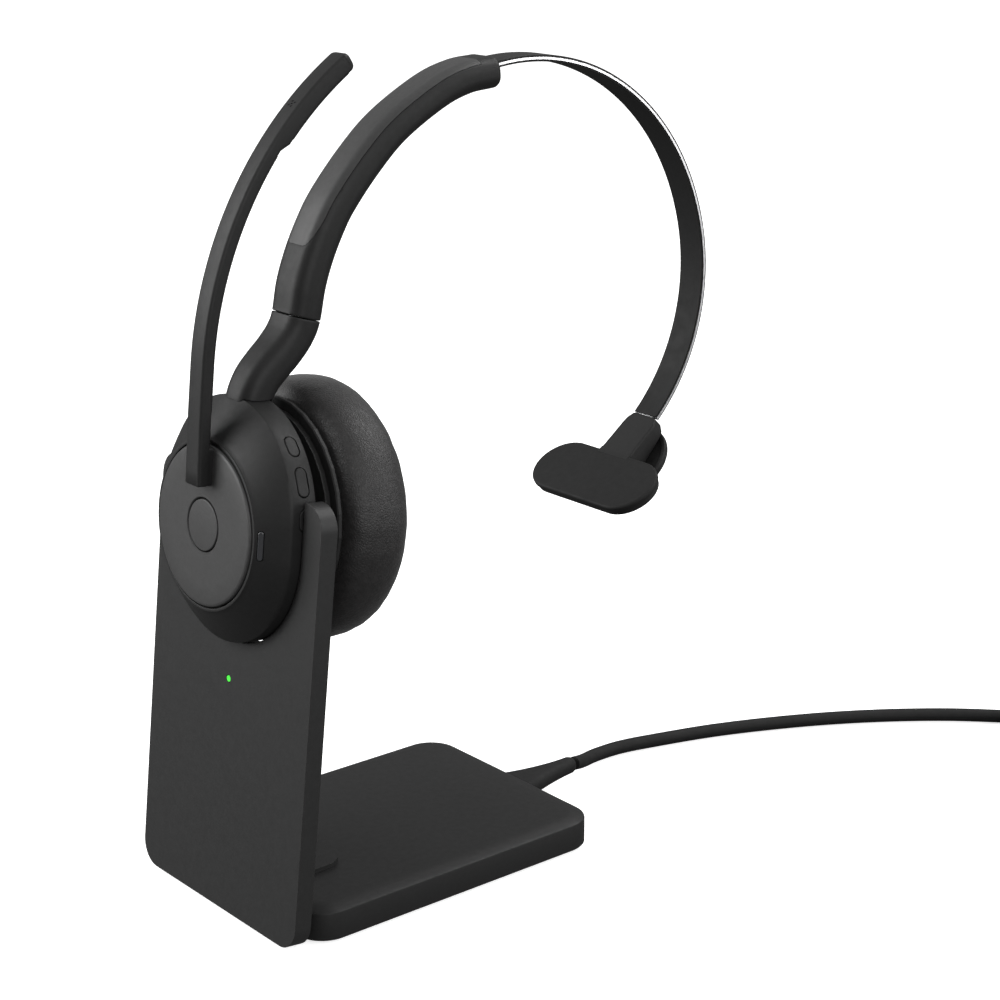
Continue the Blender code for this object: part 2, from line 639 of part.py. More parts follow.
def build_boom():
    disc = turned("boom_disc", [
        (BUTTON_R + 0.35, 0.0), (DISC_R - 0.35, 0.0), (DISC_R, -0.35), (DISC_R, -DISC_THICK),
        (9.1, -DISC_THICK), (9.1, -6.2), (BUTTON_R + 0.35, -6.2)], "satin_black", cup_frame, steps=40)
    cut(disc, rod("boom_screw_hole", 1.1, -4, 1, None, cup_frame, (0, BOOM_SCREW_V), sides=16,
                  keep=False))
    cut(disc, rod("boom_screw_sink", 2.0, -4, -1.5, None, cup_frame, (0, BOOM_SCREW_V), sides=16,
                  keep=False))
    screw("boom_screw", cup_frame, 0, BOOM_SCREW_V, -2.25, -1.6, 2.2, 0.8, 1.7)
    turned("boom_retaining_ring", [(9.4, -4.7), (11.4, -4.7), (11.4, -5.5), (9.4, -5.5)],
           "spring_steel", cup_frame, steps=32)

    last = len(boom_line()) - 1
    mic_first = 3 + round(BOOM_STEPS * MIC_START / BOOM_SWEEP)
    cover = loft("boom_front_cover", boom_rings(BOOM_WIDTH / 2, 1.75, 0.0, 0, last, 0.45, 0.5),
                 "matte_black", cup_frame)
    port_point, _, port_normal = side_frames(boom_line())[mic_first + 3]
    mic_hole = rod("mic_port_hole", 0.6, -0.9, 0.6, None, cup_frame, sides=12, keep=False)
    mic_hole.location = Vector((0, port_point[0], port_point[1])) * MM
    mic_hole.rotation_euler = (math.atan2(-port_normal[0], port_normal[1]), 0, 0)
    cut(cover, mic_hole)
    root = block("boom_root_fill", (0.08 - BOOM_WIDTH / 2, BOOM_ROOT_V + 0.08, GAP),
                 (BOOM_WIDTH / 2 - 0.08, 19.8, BOOM_FRONT_Z - 1.2), None, cup_frame, keep=False)
    boolean(cover, root, "UNION")
    cut(cover, rod("boom_thread", 0.95, -1, 2.5, None, cup_frame, (0, BOOM_SCREW_V), sides=16,
                   keep=False))

    back = loft("boom_rear_cover", boom_rings(BOOM_WIDTH / 2 - 0.1, BOOM_THICK, 1.85, 1, mic_first,
                                              0.1), "matte_black", cup_frame)
    clear = block("boom_rear_trim", (-5, 0, -9), (5, 20.2, 9), None, cup_frame, keep=False)
    cut(back, clear)
    mic_rings = boom_rings(BOOM_WIDTH / 2 - 0.1, MIC_THICK, 1.85, mic_first + 1, last, 0.1, 0.5)
    mic_body = loft("microphone_housing", mic_rings, "matte_black", cup_frame)
    frames = side_frames(boom_line())
    point, _, normal = frames[mic_first + 3]
    centre = Vector((0, point[0], point[1])) - 2.6 * Vector((0, normal[0], normal[1]))
    tilt = math.atan2(-normal[0], normal[1])
    capsule = rod("microphone_capsule", 1.5, -0.55, 0.55, "plated_steel", cup_frame, sides=20)
    pocket = rod("microphone_pocket", 1.75, -0.95, 0.95, None, cup_frame, sides=20, keep=False)
    cut(mic_body, pocket)
    for piece in (capsule, pocket):
        piece.location = centre * MM
        piece.rotation_euler = (tilt, 0, 0)


# ================================================================ speaker, gimbal and cushion
LUG_LOW = 12.7
LUG_HIGH = 14.4
PIN_R = 0.8


def build_gimbal():
    y0 = SPEAKER_CENTRE
    bracket = block("gimbal_bracket", (-LUG_HIGH, y0 - 3.2, -15.3), (LUG_HIGH, y0 + 3.2, -14.45),
                    "plated_steel", cup_frame)
    for i, side in enumerate((-1, 1)):
        near = side * LUG_LOW
        far = side * LUG_HIGH
        lug = block(f"bracket_lug_{i}", (min(near, far), y0 - 2.2, -19.0),
                    (max(near, far), y0 + 2.2, -14.8), None, cup_frame, keep=False)
        boolean(bracket, lug, "UNION")
    cut(bracket, rod("bracket_pin_bore", PIN_R + RUNNING, -20, 20, None, cup_frame, (y0, GIMBAL_Z),
                     "X", 20, keep=False))
    cut(bracket, rod("bracket_wire_hole", 2.2, -16, -13, None, cup_frame, (0, y0), sides=20,
                     keep=False))

    ring = turned("gimbal_ring", [(9.0, GIMBAL_Z + 1.1), (11.6, GIMBAL_Z + 1.1),
                                  (11.6, GIMBAL_Z - 1.1), (9.0, GIMBAL_Z - 1.1)], "plated_steel",
                  cup_frame, (0, y0), 28)
    for axis, at in (("X", (y0, GIMBAL_Z)), ("Y", (0, GIMBAL_Z))):
        for side in (-1, 1):
            middle = y0 if axis == "Y" else 0
            low, high = sorted((middle + side * 10.2, middle + side * 14.3))
            stub = rod(f"stub_{axis}{side}", PIN_R, low, high, None, cup_frame, at, axis, 20,
                       keep=False)
            boolean(ring, stub, "UNION")


def build_speaker():
    y0 = SPEAKER_CENTRE
    frame_part = turned("speaker_frame", [
        (16.6, -17.9), (26.6, -17.9), (26.6, -19.3), (18.0, -19.3), (18.0, -22.6), (0, -22.6),
        (0, -21.3), (16.6, -21.3)], "matte_black", cup_frame, (0, y0), 32, closed=True)
    for i, side in enumerate((-1, 1)):
        low, high = sorted((y0 + side * LUG_LOW, y0 + side * LUG_HIGH))
        lug = block(f"speaker_lug_{i}", (-2.2, low, -21.8), (2.2, high, -16.3), None, cup_frame,
                    keep=False)
        boolean(frame_part, lug, "UNION")
    cut(frame_part, rod("speaker_pin_bore", PIN_R + RUNNING, -20, 24, None, cup_frame,
                        (0, GIMBAL_Z), "Y", 20, keep=False))
    cut(frame_part, rod("speaker_lead_hole", 1.6, -24, -20, None, cup_frame, (6.5, y0 - 6.5),
                        sides=16, keep=False))
    turned("cushion_ring", [(19.6, -19.6), (28.6, -19.6), (28.9, -19.9), (28.9, -20.7),
                            (19.6, -20.7)], "matte_black", cup_frame, (0, y0), 32)
    turned("speaker_driver", [(0, -23.0), (8.5, -23.0), (8.5, -26.2), (14.6, -26.2), (14.6, -28.4),
                              (8.0, -28.4), (5.5, -27.6), (0, -27.6)], "component_black", cup_frame,
           (0, y0), 28, closed=False)
    turned("speaker_baffle", [(0, -29.2), (19.4, -29.2), (19.4, -30.3), (0, -30.3)], "matte_black",
           cup_frame, (0, y0), 32, closed=False)
    baffle = bpy.data.objects["speaker_baffle"]
    for i in range(6):
        angle = math.radians(60 * i)
        cut(baffle, rod(f"sound_hole_{i}", 1.6, -32, -27, None, cup_frame,
                        (9 * math.cos(angle), y0 + 9 * math.sin(angle)), sides=8, keep=False))
    turned("ear_cushion", [
        (22.5, -21.1), (29.4, -21.0), (31.4, -21.9), (33.2, -24.3), (34.3, -28.2), (34.5, -32.0),
        (34.0, -36.0), (32.4, -39.2), (29.6, -41.3), (26.2, -42.2), (22.8, -41.9), (19.6, -40.3),
        (17.6, -37.6), (16.9, -34.4), (17.6, -31.6), (19.9, -31.4), (20.3, -29.0), (20.6, -23.0)],
        "leatherette", cup_frame, (0, y0), 36)


# ================================================================ headband
def headband_frames():
    return side_frames(smooth_curve(HEADBAND_GUIDE, 3))


def housing_section(half_width, half_thick, radius):
    """Rounded section; the first coordinate runs across, the second outwards."""
    return rounded_rectangle(half_width, half_thick, radius, 3)


def headband_sizes(index, total):
    """Half width, half thickness and corner radius at a station of the headband."""
    t = index / total
    half_width = 5.6 + 0.9 * min(1.0, t * 2.2)
    half_thick = 4.75 - 0.75 * max(0.0, (t - 0.45) / 0.55)
    return half_width, half_thick, half_thick * 0.82


def headband_rings(first, last, grow=0.0):
    frames = headband_frames()
    total = len(frames) - 1
    rings = []
    for i in range(first, last + 1):
        half_width, half_thick, radius = headband_sizes(i, total)
        rings.append(side_ring(frames[i], housing_section(half_width + grow, half_thick + grow,
                                                          radius + grow)))
    return rings


def build_neck():
    seam = SEAM_STATION * 3
    neck = loft("neck", headband_rings(0, seam), "matte_black")
    frames = headband_frames()
    point, along, _ = frames[seam]
    bore = rod("neck_bore", 2.35, -9.0, 2.0, None, sides=24, keep=False)
    bore.location = Vector((0, point[0], point[1])) * MM
    bore.rotation_euler = (-math.atan2(along[0], along[1]), 0, 0)
    cut(neck, bore)
    cut(neck, loft("cup_clearance", cup_rings(GAP), None, cup_frame, keep=False))
    return point, along


def build_housing(seam_point, seam_along):
    total = len(headband_frames()) - 1
    seam = SEAM_STATION * 3
    frames = headband_frames()
    rings = headband_rings(seam, total)
    start = Vector((0, seam_along[0], seam_along[1])) * 0.25
    rings[0] = [tuple(Vector(p) + start) for p in rings[0]]
    for shrink, step in ((0.86, 0.9), (0.55, 1.5)):
        point, along, normal = frames[total]
        half_width, half_thick, radius = headband_sizes(total, total)
        section = housing_section(half_width * shrink + 0.4, half_thick * shrink, radius * shrink)
        rings.append([(x, point[0] + step * along[0] + n * normal[0],
                       point[1] + step * along[1] + n * normal[1]) for x, n in section])
    housing = loft("headband_housing", rings, "matte_black")
    cover = loft("headband_cover", rings, "satin_black")

    def cover_region(name, lift):
        region = []
        cover_first = SEAM_STATION * 3 + 6
        cover_last = total - 2
        for i in range(cover_first, cover_last + 1):
            half_width, half_thick, radius = headband_sizes(i, total)
            ease = max(0.0, 1.0 - (i - cover_first) / 4.0)
            low = half_thick - 1.15 + 1.6 * ease * ease + lift
            section = [(-9, low), (9, low), (9, half_thick + 3), (-9, half_thick + 3)]
            region.append(side_ring(frames[i], section))
        if lift < 0:
            for end, direction in ((0, -1), (-1, 1)):
                i = cover_first if end == 0 else cover_last
                shift = Vector((0, frames[i][1][0], frames[i][1][1])) * 0.15 * direction
                region[end] = [tuple(Vector(p) + shift) for p in region[end]]
        return loft(name, region, None, None, keep=False)

    boolean(cover, cover_region("cover_region", 0.0), "INTERSECT")
    cut(housing, cover_region("cover_recess", -0.15))

    centre = band_centre()
    hidden = []
    for i in range(13):
        angle = math.radians(90 + BAND_HEADING - 8 + (BAND_HIDDEN + 10) * i / 12)
        hidden.append(Vector((centre[0] + BAND_ARCS[0][0] * math.cos(angle),
                              centre[1] + BAND_ARCS[0][0] * math.sin(angle))))
    channel = strip("band_channel", side_frames(list(reversed(hidden))), 5.0, -1.35, 1.35, None,
                    keep=False)
    cut(housing, channel)
    cut(cover, channel)
    bore = rod("housing_bore", 2.35, -2.0, 8.6, None, sides=24, keep=False)
    bore.location = Vector((0, seam_point[0], seam_point[1])) * MM
    bore.rotation_euler = (-math.atan2(seam_along[0], seam_along[1]), 0, 0)
    cut(housing, bore)
    shaft = turned("swivel_shaft", [(0, 8.2), (2.1, 8.2), (2.1, -8.4), (0, -8.4)], "plated_steel",
                   None, steps=24, closed=False)
    shaft.location = bore.location
    shaft.rotation_euler = bore.rotation_euler


def band_centre():
    radius = BAND_ARCS[0][0]
    heading = math.radians(BAND_HEADING)
    return (BAND_EXIT[0] + radius * math.sin(heading), BAND_EXIT[1] - radius * math.cos(heading))


def band_points():
    hidden = [Vector(p) for p in arc(band_centre(), BAND_ARCS[0][0], 90 + BAND_HEADING + BAND_HIDDEN,
                                     90 + BAND_HEADING, 5)]
    return hidden[:-1] + arc_path(BAND_EXIT, BAND_HEADING, BAND_ARCS)


def build_band():
    frames = side_frames(band_points())
    half = BAND_THICK / 2
    strip("steel_band", frames, BAND_WIDTH / 2, -half, half, "spring_steel")
    strip("band_outer_strip", frames, BAND_WIDTH / 2 - 0.2, half + 0.1, half + 0.6, "matte_black")
    strip("band_inner_strip", frames, BAND_WIDTH / 2 - 0.2, -half - 0.6, -half - 0.1, "soft_rubber")


# ================================================================ head rest (T bar)
REST_GAP = 1.1                # head rest's top edge beyond the band's full-width end
HUB_Y = 10.8                  # swivel axis of the head rest, beyond the band's full-width end
HUB_R = 10.7
CREASE_Y = 13.3               # where the stem meets the tilted pad
CREASE_DEPTH = -2.9
PAD_TILT = 16.0
PAD_HALF_LENGTH = 22.4
PAD_HALF_HEIGHT = 9.4
TAIL_HALF_WIDTH = 2.6


def build_head_rest():
    points = band_points()
    end = points[-1]
    along = (points[-1] - points[-2]).normalized()
    start = end + along * REST_GAP
    rest_frame = new_frame("head_rest_frame", (0, start[0], start[1]))
    rest_frame.rotation_euler = (math.atan2(along[1], along[0]), 0, 0)
    pad_frame = new_frame("pad_frame", (0, CREASE_Y, CREASE_DEPTH), -PAD_TILT, rest_frame)

    tail = slab("band_tail", [[(-TAIL_HALF_WIDTH, -4), (TAIL_HALF_WIDTH, -4)]
                              + arc((0, HUB_Y), TAIL_HALF_WIDTH, 0, 180, 12)],
                0.04 - BAND_THICK / 2, BAND_THICK / 2 - 0.04, None, rest_frame, keep=False)
    band = bpy.data.objects["steel_band"]
    boolean(band, tail, "UNION")
    cut(band, rod("tail_hole", 1.4, -3, 3, None, rest_frame, (0, HUB_Y), sides=20, keep=False))

    rings = []
    for y, half_width, low, high in ((-0.4, 3.9, -0.95, 2.4), (0.2, 4.9, -1.0, 3.2),
                                     (1.4, 5.6, -1.1, 3.7), (3.2, 5.8, -1.35, 3.8),
                                     (CREASE_Y - GAP, 6.0, CREASE_DEPTH + 0.05, 3.8)):
        section = rounded_rectangle(half_width, (high - low) / 2, 0.6, 3, (0, (high + low) / 2))
        rings.append([(x, y, z) for x, z in section])
    bar = loft("head_rest_bar", rings, "matte_black", rest_frame)
    plate = slab("pad_plate", [sideways_oval(PAD_HALF_LENGTH - 0.6, PAD_HALF_HEIGHT - 0.6,
                                             PAD_HALF_HEIGHT)], 2.2, 3.3, None, pad_frame, keep=False)
    boolean(bar, plate, "UNION")
    bridge = block("pad_bridge", (-5.6, -2.6, 2.2), (5.6, 3.0, 3.3), None, pad_frame, keep=False)
    boolean(bar, bridge, "UNION")
    cut(bar, block("tail_pocket", (-3.9, -3, -0.6), (3.9, CREASE_Y + 0.2, 0.6), None, rest_frame,
                   keep=False))
    cut(bar, rod("hub_pin_bore", 1.45, -0.2, 6, None, rest_frame, (0, HUB_Y), sides=20, keep=False))

    pad = slab("head_rest_pad", [sideways_oval(PAD_HALF_LENGTH, PAD_HALF_HEIGHT, PAD_HALF_HEIGHT)],
               0.0, 1.9, "soft_rubber", pad_frame)
    bevel(pad, 0.5, 2)
    turned("head_rest_hub", [
        (0, 6.9), (HUB_R - 2.2, 6.9), (HUB_R - 0.6, 6.5), (HUB_R, 5.8), (HUB_R, 4.1),
        (HUB_R - 1.2, 4.1), (HUB_R - 1.2, 4.6), (1.3, 4.6), (1.3, -0.45), (0, -0.45)],
        "matte_black", rest_frame, (0, HUB_Y), 28, closed=False)


def sideways_oval(half_length, radius, centre):
    """Stadium outline with its long axis across."""
    straight = half_length - radius
    return (arc((straight, centre), radius, -90, 90, 12)
            + arc((-straight, centre), radius, 90, 270, 12))


# ================================================================ lead
COIL_INNER_R = 13.0
COIL_OUTER_R = 31.2
COIL_LOW_Z = 0.9
COIL_HIGH_Z = 9.4
OUTER_TURN_R = 29.2           # centre line of the coil's outermost turn
TOP_TURN_Z = 7.4              # centre line of the coil's upper layer
LIFT_START = 230.0            # where the lead starts to rise from the upper layer
TAIL_START = 156.0            # where it is clear above the coil, so that the tail begins
PLUG_ANGLE = 110.0            # where it turns in, to lie across the coil with its plug
PLUG_BEND_R = 14.5
PLUG_AXIS_Z = 13.9


def tube(name, points, radius, shade, resolution=2):
    curve = bpy.data.curves.new(name, "CURVE")
    curve.dimensions = "3D"
    curve.bevel_depth = radius
    curve.bevel_resolution = resolution
    curve.use_fill_caps = True
    spline = curve.splines.new("POLY")
    spline.points.add(len(points) - 1)
    for point, place in zip(spline.points, points):
        point.co = (*place, 1.0)
    path = bpy.data.objects.new(name + "_path", curve)
    guides.objects.link(path)
    evaluated = path.evaluated_get(bpy.context.evaluated_depsgraph_get())
    mesh = bpy.data.meshes.new_from_object(evaluated)
    bm = bmesh.new()
    bm.from_mesh(mesh)
    bpy.data.objects.remove(path, do_unlink=True)
    bpy.data.meshes.remove(mesh)
    bmesh.ops.remove_doubles(bm, verts=bm.verts, dist=0.0005)
    bmesh.ops.recalc_face_normals(bm, faces=bm.faces)
    return add_part(name, bm, shade)


def build_lead():
    tube("usb_lead", smooth_curve(LEAD_ROUTE, 2), LEAD_D / 2, "soft_rubber")
    turned("usb_lead_coil", [
        (COIL_OUTER_R - 1.5, COIL_HIGH_Z), (COIL_OUTER_R, COIL_HIGH_Z - 1.5),
        (COIL_OUTER_R, COIL_LOW_Z + 1.5), (COIL_OUTER_R - 1.5, COIL_LOW_Z),
        (COIL_INNER_R + 1.5, COIL_LOW_Z), (COIL_INNER_R, COIL_LOW_Z + 1.5),
        (COIL_INNER_R, COIL_HIGH_Z - 1.5), (COIL_INNER_R + 1.5, COIL_HIGH_Z)], "soft_rubber", None,
        COIL_CENTRE, 32)

    tail = []
    for i in range(6):
        angle = TAIL_START + (PLUG_ANGLE - TAIL_START) * i / 5
        rise = (LIFT_START - angle) / (LIFT_START - PLUG_ANGLE)
        ease = rise * rise * (3 - 2 * rise)
        place = arc(COIL_CENTRE, OUTER_TURN_R, angle, angle, 1)[0]
        tail.append(Vector((*place, TOP_TURN_Z + (PLUG_AXIS_Z - TOP_TURN_Z) * ease)))
    bend_centre = arc(COIL_CENTRE, OUTER_TURN_R - PLUG_BEND_R, PLUG_ANGLE, PLUG_ANGLE, 1)[0]
    for place in arc(bend_centre, PLUG_BEND_R, PLUG_ANGLE, PLUG_ANGLE - 90, 8)[1:]:
        tail.append(Vector((*place, PLUG_AXIS_Z)))
    tube("usb_lead_end", tail, LEAD_D / 2, "soft_rubber")

    plug_frame = new_frame("plug_frame", tail[-1])
    plug_frame.rotation_euler = (0, 0, math.radians(PLUG_ANGLE - 180))
    shell_z = 2.25
    rings = []
    for x, half_width, half_height in ((0.3, 2.6, 2.6), (4.0, 4.4, 3.4), (7.5, 7.4, 4.0),
                                       (9.0, 7.9, 4.2), (28.0, 7.9, 4.2), (28.6, 7.4, 3.8)):
        section = rounded_rectangle(half_width, half_height, min(2.2, half_height * 0.8), 4)
        rings.append([(x, y, z) for y, z in section])
    mould = loft("usb_plug_overmould", rings, "matte_black", plug_frame)
    cut(mould, block("plug_socket", (22.0, -6.3, -shell_z - GAP), (31.0, 6.3, shell_z + GAP), None,
                     plug_frame, keep=False))
    shell = block("usb_plug_shell", (22.3, -6.0, -shell_z), (47.0, 6.0, shell_z), "plated_steel",
                  plug_frame)
    cut(shell, block("shell_mouth", (29.0, -5.65, -shell_z + 0.35), (50.0, 5.65, shell_z - 0.35),
                     None, plug_frame, keep=False))
    boolean(shell, block("contact_tongue", (28.0, -5.3, 0.2), (46.0, 5.3, 1.5), None, plug_frame,
                         keep=False), "UNION")

    middle_r = (COIL_INNER_R + COIL_OUTER_R) / 2
    tie_frame = new_frame("tie_frame", (COIL_CENTRE[0], COIL_CENTRE[1], 0))
    tie_frame.rotation_euler = (math.radians(90), 0, math.radians(TIE_ANGLE))
    half_reach = (COIL_OUTER_R - COIL_INNER_R) / 2 + 0.9
    middle_z = (COIL_LOW_Z + COIL_HIGH_Z) / 2
    half_tall = (COIL_HIGH_Z - COIL_LOW_Z) / 2 + GAP
    slab("lead_tie", [rounded_rectangle(half_reach + 0.6, half_tall + 0.5, 1.3, 3,
                                        (middle_r, middle_z)),
                      rounded_rectangle(half_reach, half_tall, 0.8, 3, (middle_r, middle_z))],
         -3.2, 3.2, "soft_rubber", tie_frame)


build_plate()
build_base()
build_foot_bracket()
build_relief()
build_cup()
build_boom()
build_gimbal()
build_speaker()
seam_point, seam_along = build_neck()
build_housing(seam_point, seam_along)
build_band()
build_head_rest()
build_lead()
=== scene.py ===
"""Looks of the docked office headset: fine meshes, materials, light and camera on the CAD frame.

Lengths are in millimetres and angles in degrees unless a name says otherwise.
"""
import json
import math

import bmesh
import bpy
from mathutils import Matrix, Vector, noise


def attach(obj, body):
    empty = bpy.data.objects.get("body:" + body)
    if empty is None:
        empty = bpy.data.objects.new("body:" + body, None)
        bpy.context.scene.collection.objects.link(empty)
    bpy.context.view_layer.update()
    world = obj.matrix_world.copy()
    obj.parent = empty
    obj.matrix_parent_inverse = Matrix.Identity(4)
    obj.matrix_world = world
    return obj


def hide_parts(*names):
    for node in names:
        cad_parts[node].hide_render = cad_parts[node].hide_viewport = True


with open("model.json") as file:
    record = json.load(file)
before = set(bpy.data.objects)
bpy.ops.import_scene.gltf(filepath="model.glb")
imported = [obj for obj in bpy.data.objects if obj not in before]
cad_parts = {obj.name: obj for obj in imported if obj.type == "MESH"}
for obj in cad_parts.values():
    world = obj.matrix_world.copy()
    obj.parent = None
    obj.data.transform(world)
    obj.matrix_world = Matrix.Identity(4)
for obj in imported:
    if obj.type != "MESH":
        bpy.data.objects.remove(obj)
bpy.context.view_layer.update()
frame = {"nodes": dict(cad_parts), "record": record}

MM = 0.001

# ---------------------------------------------------------------- the CAD's dimensions used here
PLATE_WIDTH = 70.0
PLATE_TOP_V = 113.8
PLATE_BOTTOM_V = 1.0
PLATE_THICK = 4.75
PLATE_CORNER_R = 6.4
PLATE_WALL = 1.5
PLATE_LEAN = 6.15
BASE_WIDTH = 71.0
BASE_LENGTH = 93.5
BASE_TOP_Z = 9.7
BASE_SIDE_TOP_Z = 8.5
BASE_BOTTOM_Z = 0.8
BASE_CORNER_R = 8.5
PLATE_FOOT_Y = -(BASE_LENGTH / 2 + 6.5)
DISC_V = 102.6
DISC_PROUD = 10.15
DISC_R = 20.15
DISC_THICK = 2.4
BUTTON_R = 6.4
CUP_R = 27.0
CUP_HALF_STRAIGHT = 3.75
CUP_CENTRE = 0.85
CREASE_Z = -7.3
RIM_BACK_Z = -14.3
CUP_WALL = 1.5
SPEAKER_CENTRE = 1.9
HEADBAND_GUIDE = [(-38.2, 129.5), (-37.6, 132.9), (-35.4, 136.8), (-32.2, 140.0), (-28.3, 143.4),
                  (-25.1, 147.0), (-23.2, 150.9), (-21.5, 158.5), (-19.0, 165.3), (-15.6, 172.0),
                  (-11.5, 178.2), (-3.3, 187.2), (5.8, 195.0), (18.8, 202.2), (28.0, 205.2),
                  (36.0, 206.0)]
SEAM_STATION = 6
BAND_EXIT = (33.8, 207.2)
BAND_HEADING = 12.1
BAND_ARCS = [(65.5, 90.0), (55.6, 58.2)]
BAND_WIDTH = 9.0
BAND_THICK = 0.6
BOOM_WIDTH = 6.3
BOOM_ROOT_V = 10.3
BOOM_STRAIGHT_V = 39.5
BOOM_FRONT_Z = 4.3
BOOM_RADIUS = 96.6
REST_GAP = 1.1
HUB_Y = 10.8
HUB_R = 10.7
CREASE_Y = 13.3
CREASE_DEPTH = -2.9
PAD_TILT = 16.0
PAD_HALF_LENGTH = 22.4
PAD_HALF_HEIGHT = 9.4
SIDE_BUTTONS = [("volume_up", 43.0, 2.7), ("middle", 23.5, 3.6), ("volume_down", 4.0, 2.7)]
BUTTON_DEPTH_Z = -11.0
BUTTON_HALF_WIDTH = 1.55
LEAD_D = 4.0
RELIEF_END = (-2.0, 70.5, 4.6)
LEAD_ROUTE = [(-2.1, 71.5, 4.5), (-3.0, 74.4, 3.8), (-5.1, 78.4, 2.6), (-6.6, 84.0, 2.1),
              (-6.3, 93.0, 2.1), (-3.8, 103.6, 2.1), (2.2, 123.0, 2.1), (9.9, 141.2, 2.1),
              (18.7, 158.2, 2.1), (29.0, 174.3, 2.1), (41.0, 189.5, 2.1), (55.0, 203.5, 2.1),
              (64.0, 212.6, 2.1), (72.3, 221.2, 2.1)]
COIL_CENTRE = (96.0, 197.5)
OUTER_TURN_R = 29.2
TOP_TURN_Z = 7.4
LIFT_START = 230.0
PLUG_ANGLE = 110.0
PLUG_BEND_R = 14.5
PLUG_AXIS_Z = 13.9
TIE_ANGLE = 260.0

# ---------------------------------------------------------------- the scene's own dimensions
INNER_TURN_R = 15.0
LOW_TURN_Z = 2.9
CRADLE_GAP = 0.5
CRADLE_LIP_R = 0.6
LAMP_V = 61.9
LAMP_HOLE_R = 0.95
PLATE_SCREW_V = 34.0
BASE_WALL = 1.8
TONGUE_HALF_WIDTH = 16.6
FLANK_GAP = 1.35
FLANK_TOP_Z = -0.9
FLANK_BULGE = 0.35
OVAL_STEPS = 128
LENS_LEAN = 50.0
CONTACT_X = 3.0
BUTTON_PLAY = 0.2
BOOM_SWEEP = 51.6
BOOM_THICK = 3.7
BOOM_ROOT_POINTS = 4
BOOM_ARC_STEPS = 60
BOOM_COVER_PROUD = 0.3
MIC_START = 34.5              # degrees along the boom's arc
MIC_PORT = 40.0               # degrees along the boom's arc
MIC_THICK = 4.9
HEADBAND_STEPS = 10           # stations between two points of the guide
CAMERA_LENS = 82.02
CAMERA_PLACE = (0.45231, -0.33464, 0.27292)    # metres
CAMERA_TILT = 72.807
CAMERA_TURN = 50.224


# ================================================================ placing
lean = math.radians(PLATE_LEAN)
plate_up = Vector((0, math.sin(lean), math.cos(lean)))
plate_front = Vector((0, -math.cos(lean), math.sin(lean)))
plate_origin = Vector((0, PLATE_FOOT_Y, 0))
disc_origin = plate_origin + plate_up * DISC_V + plate_front * DISC_PROUD


def place(origin, x_axis, y_axis, z_axis):
    matrix = Matrix.Identity(4)
    matrix.col[0][:3] = x_axis
    matrix.col[1][:3] = y_axis
    matrix.col[2][:3] = z_axis
    matrix.translation = origin
    return matrix


WORLD = Matrix.Identity(4)
PLATE = place(plate_origin, (1, 0, 0), plate_up, plate_front)
CUP = place(disc_origin, (1, 0, 0), plate_up, plate_front)
CUSHION = CUP @ Matrix.Translation((0, SPEAKER_CENTRE, 0))


# ================================================================ camera
def make_camera():
    data = bpy.data.cameras.new("camera")
    data.lens = CAMERA_LENS
    data.sensor_width = 36.0
    camera = bpy.data.objects.new("camera", data)
    camera.location = CAMERA_PLACE
    camera.rotation_euler = (math.radians(CAMERA_TILT), 0.0, math.radians(CAMERA_TURN))
    bpy.context.scene.collection.objects.link(camera)
    bpy.context.scene.camera = camera


